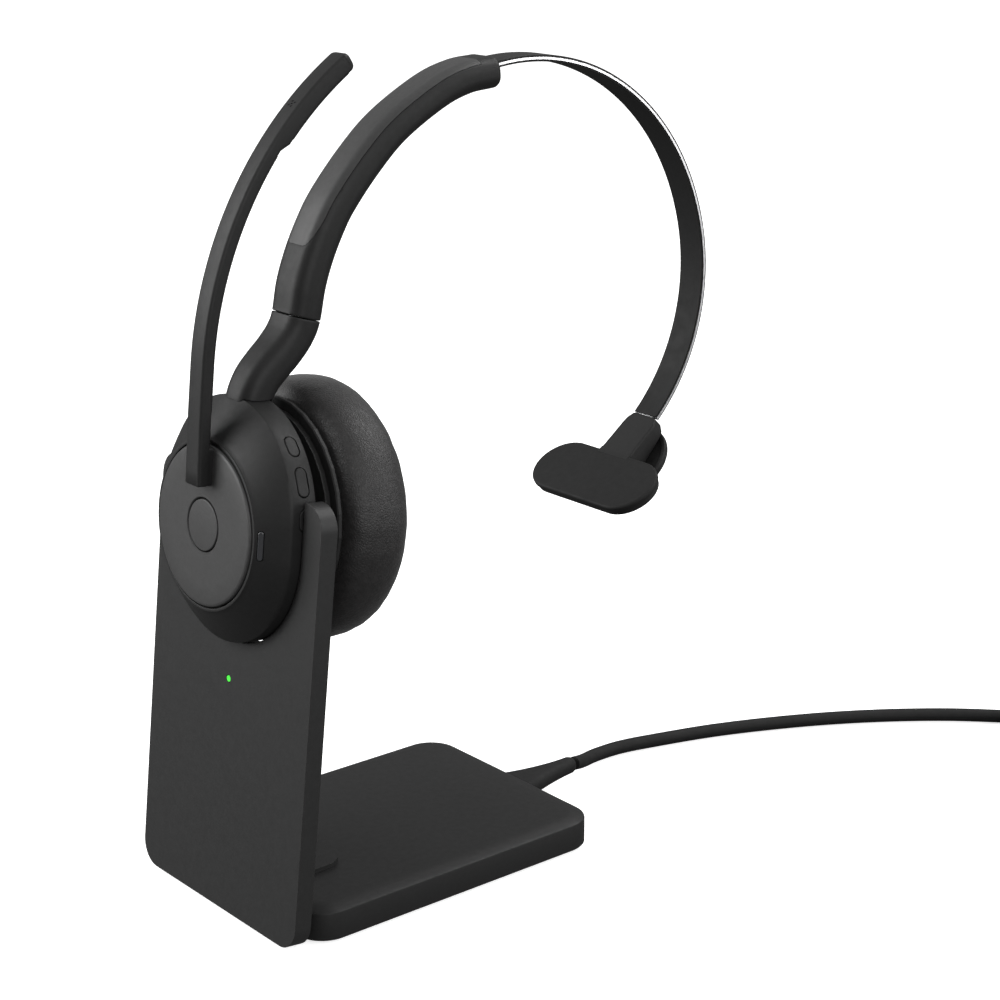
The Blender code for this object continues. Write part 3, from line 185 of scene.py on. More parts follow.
# ================================================================ materials
class Nodes:
    """A material's node tree with its Principled shader and a few shorthand builders."""

    def __init__(self, name, colour, roughness, metallic=0.0):
        self.material = bpy.data.materials.new(name)
        self.material.use_nodes = True
        self.tree = self.material.node_tree
        self.shader = self.tree.nodes["Principled BSDF"]
        self.shader.inputs["Base Color"].default_value = (*colour, 1.0)
        self.shader.inputs["Roughness"].default_value = roughness
        self.shader.inputs["Metallic"].default_value = metallic
        self.place = self.tree.nodes.new("ShaderNodeTexCoord").outputs["Object"]
        self.height = None

    def noise(self, scale, detail=4.0, stretch=None):
        node = self.tree.nodes.new("ShaderNodeTexNoise")
        node.inputs["Scale"].default_value = scale
        node.inputs["Detail"].default_value = detail
        source = self.place
        if stretch:
            mapping = self.tree.nodes.new("ShaderNodeMapping")
            mapping.inputs["Scale"].default_value = stretch
            self.tree.links.new(source, mapping.inputs["Vector"])
            source = mapping.outputs["Vector"]
        self.tree.links.new(source, node.inputs["Vector"])
        return node.outputs["Fac"]

    def cells(self, scale):
        node = self.tree.nodes.new("ShaderNodeTexVoronoi")
        node.feature = "DISTANCE_TO_EDGE"
        node.inputs["Scale"].default_value = scale
        self.tree.links.new(self.place, node.inputs["Vector"])
        return node.outputs["Distance"]

    def span(self, value, low, high, from_low=0.3, from_high=0.7):
        node = self.tree.nodes.new("ShaderNodeMapRange")
        node.inputs["From Min"].default_value = from_low
        node.inputs["From Max"].default_value = from_high
        node.inputs["To Min"].default_value = low
        node.inputs["To Max"].default_value = high
        self.tree.links.new(value, node.inputs["Value"])
        return node.outputs["Result"]

    def tint(self, value, dark, light):
        node = self.tree.nodes.new("ShaderNodeValToRGB")
        node.color_ramp.elements[0].position = 0.3
        node.color_ramp.elements[1].position = 0.7
        node.color_ramp.elements[0].color = (*dark, 1.0)
        node.color_ramp.elements[1].color = (*light, 1.0)
        self.tree.links.new(value, node.inputs["Fac"])
        self.tree.links.new(node.outputs["Color"], self.shader.inputs["Base Color"])

    def rough(self, value, low, high):
        self.tree.links.new(self.span(value, low, high), self.shader.inputs["Roughness"])

    def bump(self, value, strength, distance):
        node = self.tree.nodes.new("ShaderNodeBump")
        node.inputs["Strength"].default_value = strength
        node.inputs["Distance"].default_value = distance
        self.tree.links.new(value, node.inputs["Height"])
        if self.height:
            self.tree.links.new(self.height, node.inputs["Normal"])
        self.height = node.outputs["Normal"]
        self.tree.links.new(self.height, self.shader.inputs["Normal"])


def moulded_plastic(name, shade, roughness, gloss=0.22, grain=0.00004):
    """Charcoal plastic with spark-eroded grain and faint handling marks."""
    colour = (shade, shade, shade)
    nodes = Nodes(name, colour, roughness)
    nodes.tint(nodes.noise(900.0, 4.0), [c * 0.93 for c in colour], [c * 1.07 for c in colour])
    nodes.rough(nodes.noise(500.0, 3.0), roughness - 0.03, roughness + 0.04)
    nodes.bump(nodes.noise(5200.0, 2.0), 0.35, grain)
    nodes.shader.inputs["Specular IOR Level"].default_value = gloss
    return nodes.material


def rubber(name, shade):
    nodes = Nodes(name, (shade, shade, shade), 0.7)
    nodes.tint(nodes.noise(700.0, 5.0), [shade * 0.92] * 3, [shade * 1.1] * 3)
    nodes.rough(nodes.noise(300.0), 0.62, 0.72)
    nodes.shader.inputs["Specular IOR Level"].default_value = 0.2
    nodes.bump(nodes.noise(3000.0, 3.0), 0.5, 0.00005)
    return nodes.material


def leatherette():
    """Soft black artificial leather: pebbled cells over fine pull wrinkles."""
    nodes = Nodes("leatherette", (0.016, 0.0155, 0.0155), 0.5)
    nodes.tint(nodes.noise(700.0, 6.0), (0.012, 0.0115, 0.0115), (0.021, 0.02, 0.02))
    nodes.rough(nodes.noise(900.0), 0.42, 0.56)
    nodes.shader.inputs["Specular IOR Level"].default_value = 0.35
    nodes.bump(nodes.span(nodes.cells(1300.0), 0.0, 1.0, 0.0, 0.25), 0.5, 0.00009)
    nodes.bump(nodes.noise(420.0, 5.0, (1.0, 0.45, 1.0)), 0.3, 0.00015)
    nodes.shader.inputs["Sheen Weight"].default_value = 0.12
    nodes.shader.inputs["Sheen Roughness"].default_value = 0.4
    return nodes.material


def metal(name, colour, roughness, stretch=(1.0, 1.0, 1.0)):
    """Metal with a fine grain, drawn out along one direction where stretch says so."""
    nodes = Nodes(name, colour, roughness, 1.0)
    nodes.tint(nodes.noise(900.0, 3.0, stretch), [c * 0.9 for c in colour],
               [min(1, c * 1.06) for c in colour])
    nodes.rough(nodes.noise(1530.0, 2.0, stretch), roughness - 0.06, roughness + 0.08)
    nodes.bump(nodes.noise(1800.0, 2.0, stretch), 0.15, 0.00003)
    return nodes.material


def board():
    nodes = Nodes("circuit_board", (0.02, 0.13, 0.06), 0.4)
    nodes.tint(nodes.cells(420.0), (0.012, 0.07, 0.03), (0.03, 0.17, 0.08))
    nodes.bump(nodes.cells(420.0), 0.3, 0.0001)
    return nodes.material


def lamp(name, colour, glow):
    nodes = Nodes(name, colour, 0.25)
    nodes.tint(nodes.noise(800.0), [c * 0.9 for c in colour], [min(1.0, c * 1.1) for c in colour])
    nodes.shader.inputs["Coat Weight"].default_value = 0.5
    if glow:
        nodes.shader.inputs["Emission Color"].default_value = (*colour, 1.0)
        nodes.shader.inputs["Emission Strength"].default_value = glow
    return nodes.material


def make_materials():
    return {
        "matte_black": moulded_plastic("matte_black", 0.0125, 0.50),
        "satin_black": moulded_plastic("satin_black", 0.019, 0.47, 0.26, 0.00003),
        # A lighter copy of satin black, with painted light: it brightens the disc, the mute key and the
        # headband cover.
        "painted_light_satin": moulded_plastic("painted_light_satin", 0.040, 0.46, 0.3, 0.00003),
        "soft_rubber": rubber("soft_rubber", 0.010),
        "leatherette": leatherette(),
        "spring_steel": metal("spring_steel", (0.80, 0.80, 0.81), 0.32, (8.0, 0.5, 0.5)),
        "plated_steel": metal("plated_steel", (0.55, 0.56, 0.58), 0.32),
        "circuit_board": board(),
        "component_black": moulded_plastic("component_black", 0.02, 0.45),
        "contact_gold": metal("contact_gold", (0.55, 0.40, 0.17), 0.38),
        "cell_foil": metal("cell_foil", (0.35, 0.36, 0.38), 0.35),
        "lamp_green": lamp("lamp_green", (0.06, 0.62, 0.05), 0.7),
        "lamp_smoke": lamp("lamp_smoke", (0.03, 0.031, 0.034), 0.0),
    }


# ================================================================ mesh helpers
def add_piece(name, bm, shade, body, matrix=WORLD, replaced=(), sharp=32.0, painted_light_copy=None):
    """A bmesh in millimetres, moved by matrix, becomes a named piece that rides on a CAD body."""
    bmesh.ops.transform(bm, matrix=Matrix.Scale(MM, 4) @ matrix, verts=bm.verts)
    mesh = bpy.data.meshes.new(name)
    bm.to_mesh(mesh)
    bm.free()
    mesh.shade_smooth()
    mesh.set_sharp_from_angle(angle=math.radians(sharp))
    obj = bpy.data.objects.new(name, mesh)
    bpy.context.scene.collection.objects.link(obj)
    if shade:
        # Where given, this names a lighter copy of the shade's material, with painted light, used in its
        # place.
        mesh.materials.append(materials[painted_light_copy or shade])
        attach(obj, body)
        if replaced:
            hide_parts(*replaced)
    return obj


def helper(name, bm, matrix=WORLD):
    return add_piece(name, bm, None, None, matrix)


def apply_modifiers(obj):
    evaluated = obj.evaluated_get(bpy.context.evaluated_depsgraph_get())
    mesh = bpy.data.meshes.new_from_object(evaluated)
    old = obj.data
    obj.modifiers.clear()
    obj.data = mesh
    bpy.data.meshes.remove(old)


def combine(obj, cutters, operation="DIFFERENCE"):
    """Boolean with each cutter in turn, applied, and the cutters removed."""
    for cutter in cutters:
        modifier = obj.modifiers.new("boolean", "BOOLEAN")
        modifier.operation = operation
        modifier.object = cutter
    apply_modifiers(obj)
    for cutter in cutters:
        bpy.data.objects.remove(cutter, do_unlink=True)
    obj.data.shade_smooth()
    obj.data.set_sharp_from_angle(angle=math.radians(32))


def soften(obj, width, segments=3, angle=35.0):
    """Round the edges sharper than angle."""
    modifier = obj.modifiers.new("bevel", "BEVEL")
    modifier.width = width * MM
    modifier.segments = segments
    modifier.limit_method = "ANGLE"
    modifier.angle_limit = math.radians(angle)
    modifier.harden_normals = True
    modifier.use_clamp_overlap = True


def loft(rings, loop=False):
    """Skin over rings of equal length; loop joins the last ring to the first."""
    bm = bmesh.new()
    rows = [[bm.verts.new(p) for p in ring] for ring in rings]
    count = len(rows[0])
    pairs = list(zip(rows, rows[1:]))
    if loop:
        pairs.append((rows[-1], rows[0]))
    for first, second in pairs:
        for i in range(count):
            j = (i + 1) % count
            bm.faces.new((first[i], first[j], second[j], second[i]))
    if not loop:
        bm.faces.new(rows[0])
        bm.faces.new(list(reversed(rows[-1])))
    bmesh.ops.recalc_face_normals(bm, faces=bm.faces)
    return bm


def prism(outline, low, high):
    return loft([[(x, y, low) for x, y in outline], [(x, y, high) for x, y in outline]])


def revolve(profile, steps=96, loop=False):
    """Turned solid about z; a profile that starts and ends on the axis closes there."""
    rings = []
    for radius, z in profile:
        ring = []
        for i in range(steps):
            angle = 2 * math.pi * i / steps
            ring.append((radius * math.cos(angle), radius * math.sin(angle), z))
        rings.append(ring)
    return loft(rings, loop=loop)


def cylinder(radius, low, high):
    return revolve([(radius, low), (radius, high)], 48)


def arc(centre, radius, start, end, steps):
    points = []
    for i in range(steps + 1):
        angle = math.radians(start + (end - start) * i / steps)
        points.append((centre[0] + radius * math.cos(angle), centre[1] + radius * math.sin(angle)))
    return points


def rounded_rectangle(half_x, half_y, radius, steps=8, centre=(0.0, 0.0)):
    points = []
    for sx, sy, start in ((1, 1, 0), (-1, 1, 90), (-1, -1, 180), (1, -1, 270)):
        corner = (centre[0] + sx * (half_x - radius), centre[1] + sy * (half_y - radius))
        points += arc(corner, radius, start, start + 90, steps)
    return points


def fillet_profile(points, radii):
    """Round the corners of an open profile; radii holds one radius per inner corner."""
    steps = 5
    result = [points[0]]
    for i in range(1, len(points) - 1):
        corner = Vector(points[i])
        before = Vector(points[i - 1]) - corner
        after = Vector(points[i + 1]) - corner
        reach = min(radii[i - 1], before.length * 0.48, after.length * 0.48)
        if reach <= 0:
            result.append(points[i])
            continue
        start = corner + before.normalized() * reach
        end = corner + after.normalized() * reach
        for k in range(steps + 1):
            t = k / steps
            result.append(tuple(start * (1 - t) ** 2 + corner * 2 * t * (1 - t) + end * t * t))
    result.append(points[-1])
    return result


def spline_point(four_points, t):
    """Catmull-Rom point between the middle two of four points."""
    p0, p1, p2, p3 = four_points
    return 0.5 * (2 * p1 + (p2 - p0) * t + (2 * p0 - 5 * p1 + 4 * p2 - p3) * t * t
                  + (3 * p1 - p0 - 3 * p2 + p3) * t * t * t)


def smooth_curve(guide, per_span):
    points = [Vector(p) for p in guide]
    padded = [2 * points[0] - points[1]] + points + [2 * points[-1] - points[-2]]
    result = []
    for i in range(1, len(padded) - 2):
        for k in range(per_span):
            result.append(spline_point(padded[i - 1:i + 3], k / per_span))
    result.append(points[-1])
    return result


def side_frames(points):
    """Point, direction and normal at each point of a line in the y-z plane."""
    frames = []
    for i, point in enumerate(points):
        before = points[max(i - 1, 0)]
        after = points[min(i + 1, len(points) - 1)]
        along = (after - before).normalized()
        frames.append((point, along, Vector((-along[1], along[0]))))
    return frames


def side_ring(station, section, shift=0.0):
    """A section across such a line, moved along it by shift."""
    point, along, normal = station
    return [(x, point[0] + n * normal[0] + shift * along[0],
             point[1] + n * normal[1] + shift * along[1]) for x, n in section]


# ================================================================ lead
def coil_points():
    """Two flat spirals, inwards on the desk and outwards on top, then up and in across the coil."""
    step = 10.0
    inward = 126
    climb = 5
    outward = round((90 + 360 * 6 + (360 - LIFT_START)) / step) - inward - climb - 1
    stations = [(OUTER_TURN_R + (INNER_TURN_R - OUTER_TURN_R) * i / inward, LOW_TURN_Z)
                for i in range(inward + 1)]
    for i in range(1, climb + 1):
        ease = 0.5 - 0.5 * math.cos(math.pi * i / (climb + 1))
        stations.append((INNER_TURN_R, LOW_TURN_Z + (TOP_TURN_Z - LOW_TURN_Z) * ease))
    stations += [(INNER_TURN_R + (OUTER_TURN_R - INNER_TURN_R) * i / outward, TOP_TURN_Z)
                 for i in range(outward + 1)]
    rising = round((LIFT_START - PLUG_ANGLE) / step)
    for i in range(1, rising + 1):
        t = i / rising
        stations.append((OUTER_TURN_R, TOP_TURN_Z + (PLUG_AXIS_Z - TOP_TURN_Z) * t * t * (3 - 2 * t)))
    points = []
    for i, (radius, z) in enumerate(stations):
        angle = math.radians(90 - step * i)
        points.append(Vector((COIL_CENTRE[0] + radius * math.cos(angle),
                              COIL_CENTRE[1] + radius * math.sin(angle), z)))
    bend_centre = arc(COIL_CENTRE, OUTER_TURN_R - PLUG_BEND_R, PLUG_ANGLE, PLUG_ANGLE, 1)[0]
    for place_xy in arc(bend_centre, PLUG_BEND_R, PLUG_ANGLE, PLUG_ANGLE - 90, 12)[1:]:
        points.append(Vector((*place_xy, PLUG_AXIS_Z)))
    return points


def build_lead():
    coil = coil_points()
    end = coil[-1]
    heading = math.radians(PLUG_ANGLE - 180)
    along = Vector((math.cos(heading), math.sin(heading), 0))
    approach = smooth_curve(LEAD_ROUTE + [tuple(coil[0]), tuple(coil[1])], 5)[:-5]
    points = approach[:-1] + coil + [end + along * 1.5]
    curve = bpy.data.curves.new("usb_cable", "CURVE")
    curve.dimensions = "3D"
    curve.bevel_depth = LEAD_D / 2 * MM
    curve.bevel_resolution = 4
    curve.use_fill_caps = True
    spline = curve.splines.new("POLY")
    spline.points.add(len(points) - 1)
    for point, position in zip(spline.points, points):
        point.co = (*(position * MM), 1.0)
    cable = bpy.data.objects.new("usb_cable", curve)
    bpy.context.scene.collection.objects.link(cable)
    curve.materials.append(materials["soft_rubber"])
    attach(cable, "stand")
    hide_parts("usb_lead", "usb_lead_coil", "usb_lead_end")

    plug_place = Matrix.Translation(end) @ Matrix.Rotation(heading, 4, "Z")
    rings = []
    for x, half_width, half_height in ((0.3, 2.5, 2.5), (0.8, 2.7, 2.7), (4.0, 4.2, 3.3), (7.0, 7.2, 3.95),
                                       (8.2, 7.8, 4.15), (9.5, 7.9, 4.2), (27.4, 7.9, 4.2),
                                       (28.2, 7.7, 4.05), (28.6, 7.3, 3.7)):
        section = rounded_rectangle(half_width, half_height, min(2.2, half_height * 0.8), 6)
        rings.append([(x, y, z) for y, z in section])
    mould = add_piece("plug_mould", loft(rings), "matte_black", "stand", plug_place,
                      ["usb_plug_overmould"])
    socket = helper("socket", box_mesh((22.0, -6.3, -2.55), (31.0, 6.3, 2.55)), plug_place)
    combine(mould, [socket])
    tie_piece()


def box_mesh(low, high):
    bm = bmesh.new()
    bmesh.ops.create_cube(bm, size=1.0)
    bmesh.ops.scale(bm, vec=Vector(high) - Vector(low), verts=bm.verts)
    bmesh.ops.translate(bm, vec=(Vector(high) + Vector(low)) / 2, verts=bm.verts)
    return bm


def tie_piece():
    middle = (22.1, 5.15)
    tie_place = (Matrix.Translation((*COIL_CENTRE, 0)) @ Matrix.Rotation(math.radians(TIE_ANGLE), 4, "Z")
                 @ Matrix.Rotation(math.radians(90), 4, "X"))
    outer = rounded_rectangle(10.6, 5.05, 1.3, 6, middle)
    inner = rounded_rectangle(10.0, 4.55, 0.8, 6, middle)
    rings = [[(x, y, z) for x, y in line] for line, z in
             ((outer, -3.2), (outer, 3.2), (inner, 3.2), (inner, -3.2))]
    tie = add_piece("cable_tie", loft(rings, loop=True), "soft_rubber", "stand", tie_place,
                    ["lead_tie"])
    soften(tie, 0.15, 2)
    return tie


# ================================================================ stand
def plate_outline(inset=0.0):
    """The upright plate's outline with its round cradle, moved inwards by inset."""
    half = PLATE_WIDTH / 2 - inset
    corner = PLATE_CORNER_R - inset
    top = PLATE_TOP_V - inset
    bottom = PLATE_BOTTOM_V + inset
    lip = CRADLE_LIP_R
    cut_r = CUP_R + CRADLE_GAP + inset
    cut_low = DISC_V + CUP_CENTRE - CUP_HALF_STRAIGHT
    ear_corner = min(corner, half - cut_r - lip)
    points = arc((-half + corner, bottom + corner), corner, 180, 270, 10)
    points += arc((half - corner, bottom + corner), corner, 270, 360, 10)
    points += arc((half - ear_corner, top - ear_corner), ear_corner, 0, 90, 10)
    points += arc((cut_r + lip, top - lip), lip, 90, 180, 4)
    points += arc((0, cut_low), cut_r, 0, -180, 64)
    points += arc((-cut_r - lip, top - lip), lip, 0, 90, 4)
    points += arc((-half + ear_corner, top - ear_corner), ear_corner, 90, 180, 10)
    return points


def build_plate():
    lamp_place = PLATE @ Matrix.Translation((0, LAMP_V, 0))
    screw_place = PLATE @ Matrix.Translation((0, PLATE_SCREW_V, 0))
    back = -PLATE_THICK
    front = add_piece("plate_front", prism(plate_outline(), back, 0), "satin_black", "stand", PLATE,
                      ["stand_plate_front"])
    combine(front, [
        helper("cavity", prism(plate_outline(PLATE_WALL), back - 1, -PLATE_WALL), PLATE),
        helper("lamp_hole", cylinder(LAMP_HOLE_R, -3, 1), lamp_place)])
    soften(front, 0.42, 3)
    rear = add_piece("plate_rear", prism(plate_outline(PLATE_WALL + 0.3), back, -3.55),
                     "matte_black", "stand", PLATE, ["stand_plate_rear"])
    combine(rear, [
        helper("slot", box_mesh((-17.6, -2, back - 1), (17.6, 12.4, 0)), PLATE),
        helper("screw_sink", cylinder(2.1, back - 1, back + 0.6), screw_place),
        helper("screw_way", cylinder(1.15, back - 1, 0), screw_place)])
    soften(rear, 0.25, 2)


def base_rings():
    """The base's sections from its foot up, crowned towards the top."""
    brow_z = BASE_SIDE_TOP_Z + 0.05
    profile = [(0.5, BASE_BOTTOM_Z), (0.0, BASE_BOTTOM_Z + 0.5), (0.0, BASE_SIDE_TOP_Z - 0.45),
               (0.12, BASE_SIDE_TOP_Z - 0.12), (0.4, brow_z)]
    for i in range(1, 9):
        t = i / 8
        profile.append((0.4 + 4.6 * t,
                        brow_z + (BASE_TOP_Z - BASE_SIDE_TOP_Z - 0.05) * math.sin(t * math.pi / 2)))
    profile += [(12.0, BASE_TOP_Z), (22.0, BASE_TOP_Z)]
    rings = []
    for inset, z in profile:
        radius = max(1.0, BASE_CORNER_R - inset)
        section = rounded_rectangle(BASE_WIDTH / 2 - inset, BASE_LENGTH / 2 - inset, radius, 12)
        rings.append([(x, y, z) for x, y in section])
    return rings


def build_base():
    half_x = BASE_WIDTH / 2
    half_y = BASE_LENGTH / 2
    hollow = rounded_rectangle(half_x - BASE_WALL, half_y - BASE_WALL, 6.7)
    top = add_piece("base_top", loft(base_rings()), "matte_black", "stand", WORLD, ["base_top_shell"],
                    60.0)
    combine(top, [
        helper("hollow", prism(hollow, -1, 7.3)),
        helper("relief_mouth", box_mesh((-8.3, half_y - 4, 2.5), (8.3, half_y + 2, 7.6))),
        helper("tongue_slot", box_mesh((-16.1, -half_y - 3, 3.0), (16.1, -half_y + 15.8, 12)))])
    outline = rounded_rectangle(TONGUE_HALF_WIDTH, 12.6, 6.5, 12, (0, -half_y + 11.2))
    tongue = add_piece("foot_tongue", prism(outline, 9.75, 11.0), "matte_black", "stand", WORLD,
                       ["foot_bracket"])
    root = box_mesh((-15.8, -half_y - 1.3, 3.3), (15.8, -half_y + 15.5, 10.2))
    combine(tongue, [helper("tongue_root", root)], "UNION")
    soften(tongue, 0.7, 5)


def build_relief():
    """The lead's strain relief, wide in the base and narrowing to the lead."""
    start_y = BASE_LENGTH / 2 - 3.4
    start_z = 5.05
    rings = []
    stations = 28
    for i in range(stations):
        t = i / (stations - 1)
        flare = (1 - t) ** 1.7
        half_w = 2.35 + 5.6 * flare
        half_h = 2.25 + 0.15 * flare
        if i == stations - 1:
            half_w -= 0.3
            half_h -= 0.3
        section = rounded_rectangle(half_w, half_h, min(half_w, half_h) * 0.85, 8)
        x = RELIEF_END[0] * t ** 1.5
        y = start_y + t * (RELIEF_END[1] - start_y)
        z = start_z + (RELIEF_END[2] - start_z) * t
        rings.append([(x + sx, y, z + sz) for sx, sz in section])
    add_piece("lead_relief", loft(rings), "soft_rubber", "stand", WORLD, ["strain_relief"], 60.0)


# ================================================================ ear cup
def oval_ring(radius, half_straight, centre, z):
    points = []
    for i in range(OVAL_STEPS):
        angle = 2 * math.pi * (i + 0.5) / OVAL_STEPS
        lift = half_straight if math.sin(angle) > 0 else -half_straight
        points.append((radius * math.cos(angle), centre + lift + radius * math.sin(angle), z))
    return points


def rim_ring(radius, z):
    """Section of the cup's rim, which is an oval about the rim's own centre."""
    return oval_ring(radius, CUP_HALF_STRAIGHT, CUP_CENTRE, z)


def flank_ring(t, grow=0.0):
    """Section of the cup's flank, from the disc (t = 0) to the crease (t = 1)."""
    radius = (DISC_R + (FLANK_GAP + grow) + (CUP_R - DISC_R - FLANK_GAP) * t
              + FLANK_BULGE * math.sin(math.pi * t))
    z = FLANK_TOP_Z + (CREASE_Z - FLANK_TOP_Z) * t
    return oval_ring(radius, CUP_HALF_STRAIGHT * t, CUP_CENTRE * t, z)


def pill(half_long, half_wide, steps=12):
    straight = half_long - half_wide
    return (arc((straight, 0), half_wide, -90, 90, steps)
            + arc((-straight, 0), half_wide, 90, 270, steps))


def upright_pill(half_long, half_wide):
    return [(y, x) for x, y in reversed(pill(half_long, half_wide))]


def rim_place(angle):
    """Frame on the cup's rim: x around it, z out of it."""
    direction = Vector((math.cos(math.radians(angle)), math.sin(math.radians(angle)), 0))
    along = Vector((-direction.y, direction.x, 0))
    centre = Vector((0, CUP_CENTRE + CUP_HALF_STRAIGHT, BUTTON_DEPTH_Z)) + direction * CUP_R
    return CUP @ place(centre, along, direction.cross(along), direction)


def cup_rings():
    """The shell's closed section: the disc's seat, the flank, the rim and back along the inside."""
    seat_r = DISC_R + 0.35
    rings = [oval_ring(9.4, 0, 0, -4.3), oval_ring(9.4, 0, 0, -2.8), oval_ring(seat_r, 0, 0, -2.8),
             oval_ring(seat_r, 0, 0, -0.9), oval_ring(DISC_R + 0.5, 0, 0, -0.66),
             oval_ring(DISC_R + 0.8, 0, 0, -0.6), oval_ring(DISC_R + 1.15, 0.05, 0, -0.68)]
    rings += [flank_ring(i / 12) for i in range(13)]
    rings += [rim_ring(CUP_R + 0.1, CREASE_Z - 0.45), rim_ring(CUP_R + 0.1, RIM_BACK_Z + 0.4),
              rim_ring(CUP_R - 0.05, RIM_BACK_Z + 0.1), rim_ring(CUP_R - 0.35, RIM_BACK_Z),
              rim_ring(CUP_R - CUP_WALL, RIM_BACK_Z), rim_ring(CUP_R - CUP_WALL, -8.6)]
    rings += [oval_ring(20.8, 1.5, 0.4, -5.4), oval_ring(18.6, 0, 0, -4.3)]
    return rings


def build_cup():
    cup = add_piece("cup_shell", loft(cup_rings(), loop=True), "matte_black", "cup", CUP,
                    ["cup_front_housing"], 50.0)
    lamp_place = (CUP @ Matrix.Translation((22.15, 0.0, -2.0))
                  @ Matrix.Rotation(math.radians(LENS_LEAN), 4, "Y"))
    cutters = [helper("lamp_slot", prism(upright_pill(3.75, 0.85), -2, 3), lamp_place)]
    for name, angle, half_long in SIDE_BUTTONS:
        opening = pill(half_long + BUTTON_PLAY, BUTTON_HALF_WIDTH + BUTTON_PLAY)
        cutters.append(helper(name + "_slot", prism(opening, -3, 2), rim_place(angle)))
        button = add_piece(name + "_key", prism(pill(half_long, BUTTON_HALF_WIDTH), -2.2, 0.12),
                           "matte_black", name, rim_place(angle), [name + "_button"])
        soften(button, 0.3, 4)
    for x in (-CONTACT_X, CONTACT_X):
        cutters.append(helper("contact_slot", box_mesh((x - 1.2, -32, -13.6), (x + 1.2, -29.8, -11.4)),
                              CUP))
    combine(cup, cutters)
    lens = add_piece("busy_lens", prism(upright_pill(3.6, 0.7), -1.4, 0.45), "lamp_smoke", "cup",
                     lamp_place, ["busy_light_lens"])
    soften(lens, 0.25, 3)


def build_mute_key():
    profile = fillet_profile([(0.0, 0.0), (BUTTON_R, 0.0), (BUTTON_R, -1.6), (2.0, -1.6),
                              (2.0, -5.2), (0.0, -5.2)], [0.3, 0.1, 0.1, 0.1])
    # The key takes the lighter satin copy: painted light on satin black plastic.
    add_piece("mute_key", revolve([(max(r, 0.02), z) for r, z in profile]), "satin_black", "mute", CUP,
              ["mute_button"], painted_light_copy="painted_light_satin")


def build_disc():
    profile = [(BUTTON_R + 0.35, -6.2), (BUTTON_R + 0.35, -0.3), (BUTTON_R + 0.6, 0.0)]
    profile += [(10.0, 0.0), (15.0, 0.0), (DISC_R - 0.8, 0.0), (DISC_R - 0.45, -0.06),
                (DISC_R - 0.15, -0.24), (DISC_R, -0.55), (DISC_R, -DISC_THICK), (9.1, -DISC_THICK),
                (9.1, -6.2)]
    # The disc takes the lighter satin copy: painted light on satin black plastic.
    add_piece("disc", revolve(profile, 128, True), "satin_black", "boom", CUP, ["boom_disc"], 25.0,
              "painted_light_satin")


# ================================================================ microphone boom
def boom_station(angle):
    """Index of the boom line's point at an angle along its arc."""
    return BOOM_ROOT_POINTS + round(BOOM_ARC_STEPS * angle / BOOM_SWEEP)


def boom_line():
    """The arm's front line: the root's points, then the arc."""
    points = [Vector((BOOM_ROOT_V, BOOM_FRONT_Z - 0.35)), Vector((14.0, BOOM_FRONT_Z - 0.27)),
              Vector((18.0, BOOM_FRONT_Z - 0.2)), Vector((28.0, BOOM_FRONT_Z))]
    for i in range(BOOM_ARC_STEPS + 1):
        angle = math.radians(BOOM_SWEEP * i / BOOM_ARC_STEPS)
        points.append(Vector((BOOM_STRAIGHT_V + BOOM_RADIUS * math.sin(angle),
                              BOOM_FRONT_Z - BOOM_RADIUS * (1 - math.cos(angle)))))
    return points


def boom_sections(half_width, high, depths, first, radius, tip):
    """Rounded sections of the arm, from first on, between two depths below its front line."""
    stations = side_frames(boom_line())
    rings = []
    for i, low in enumerate(depths, first):
        steps = [(0.0, 0.0)]
        if i == first:
            steps = [(0.5, 0.0), (0.2, 0.12), (0.0, 0.4)]
        if tip and i == first + len(depths) - 1:
            steps = [(0.0, -1.5), (0.15, -0.95), (0.4, -0.5), (0.8, -0.18), (1.3, -0.02),
                     (1.8, 0.03)]
        for narrow, shift in steps:
            thick = (low - high) / 2 - narrow * 0.9 * min(1.0, (low - high) / 4)
            section = rounded_rectangle(half_width - narrow, thick, min(radius, thick * 0.9), 5,
                                        (0, -(low + high) / 2))
            rings.append(side_ring(stations[i], section, shift))
    return rings


def microphone_holes():
    """Five short slots in a cross on the arm's front face."""
    point, along, normal = side_frames(boom_line())[boom_station(MIC_PORT)]
    turn = place(Vector((0, point[0], point[1])), (1, 0, 0), Vector((0, along[0], along[1])),
                 Vector((0, normal[0], normal[1]))) @ Matrix.Rotation(math.radians(28), 4, "Z")
    holes = []
    for column, row in ((0, -1), (-1, 0), (0, 0), (1, 0), (0, 1)):
        spot = turn @ Matrix.Translation((column * 0.95, row * 0.85, 0))
        holes.append(helper("port", prism(pill(0.36, 0.17, 5), -0.6, 0.6), CUP @ spot))
    return holes


